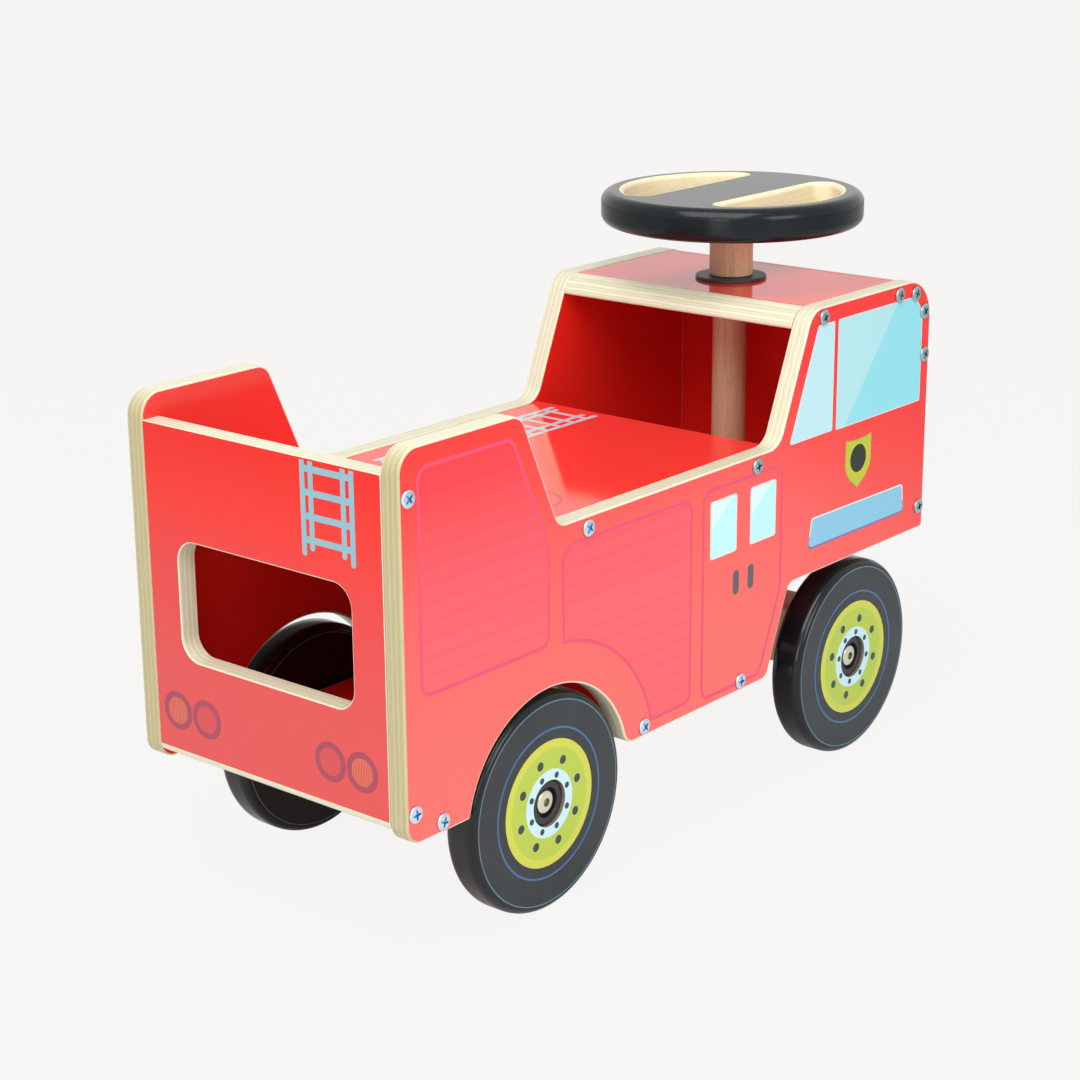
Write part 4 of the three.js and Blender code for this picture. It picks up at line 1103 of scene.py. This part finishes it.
rear_ladder = ladder("rear_ladder_print", ladder_ink, "X", rear_face, (-72.2, -66.0, -42.3, -36.2),
                     ((230.2, 283), (233.7, 283), (233.7, 283), (230.2, 283)),
                     [237.8 + rung_step * i for i in range(4)], False)
offset = rear_face / mm
rail_rear = offset + 165
outer_rail, inner_rail = (rail_rear, offset + 336), (rail_rear, offset + 333)
deck_ladder = ladder("deck_ladder_print", deck_ladder_ink, "Z", deck_top, (35.0, 43.1, 65.1, 71.3),
                     (outer_rail, inner_rail, inner_rail, outer_rail),
                     [offset + 324.2 - rung_step * i for i in range(13)], True)

tail_ring = ink_look("tail_ring_ink", (0.34, 0.043, 0.077))
tail_red = ink_look("tail_red_ink", (0.60, 0.055, 0.06))
tail_orange, tree, shader = look("tail_orange_ink", (0.62, 0.12, 0.05), 0.25)
tree.links.new(striped(tree, "Y", 260, [(0.3, (0.52, 0.048, 0.042)), (0.7, (0.62, 0.15, 0.075))]),
               shader.inputs["Base Color"])
lamps = []
for y, ink in ((74.3, tail_orange), (50.3, tail_red), (-47.9, tail_red), (-71.8, tail_orange)):
    for radius, material, rise in ((11.6, tail_ring, 1), (8.1, ink, 1.5)):
        disc = circle(y * mm, 115.8 * mm, radius * mm)
        lamps.append(painted(board("lamp", disc, "X", rear_face - rise * bed, 2 * bed), material))
tail_lamps = joined("tail_lamp_print", lamps)

deck_ring = turned("deck_ring_print", oblong(17.6 * mm, 19.4 * mm, -bed, bed), (0, 0, 0), "Z", 96)
deck_ring.data.transform(Matrix.Translation((rear_face + 158.8 * mm, -55.6 * mm, deck_top)))
painted(deck_ring, ink_look("deck_ring_ink", (0.58, 0.05, 0.09)))

front_parts = []
for corners, level, ink in (
        (oblong(-78, 78, 206, 272, 1.4), 1, rim_ink),
        (oblong(-77.2, 77.2, 206.8, 271.2, 1.4), 1.5, glass_ink),
        (oblong(-40, 40, 150, 153, 1.4), 1, handle_ink), (oblong(-40, 40, 157, 160, 1.4), 1, handle_ink),
        (oblong(-40, 40, 164, 167, 1.4), 1, handle_ink)):
    outline = outline_of([(y * mm, z * mm, r * mm) for y, z, r in corners])
    front_parts.append(painted(board("bar", outline, "X", nose - bed, (1 + level) * bed), ink))
for y in (-64, 64):
    for radius, level, ink in ((13, 1, tail_ring), (10.4, 1.5, wheel_yellow)):
        disc = circle(y * mm, 160 * mm, radius * mm)
        front_parts.append(painted(board("headlamp", disc, "X", nose - bed, (1 + level) * bed), ink))
front_print = joined("front_print", front_parts)
for piece in (right_print, left_print, rear_ladder, deck_ladder, tail_lamps, deck_ring, front_print):
    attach(piece, "chassis")
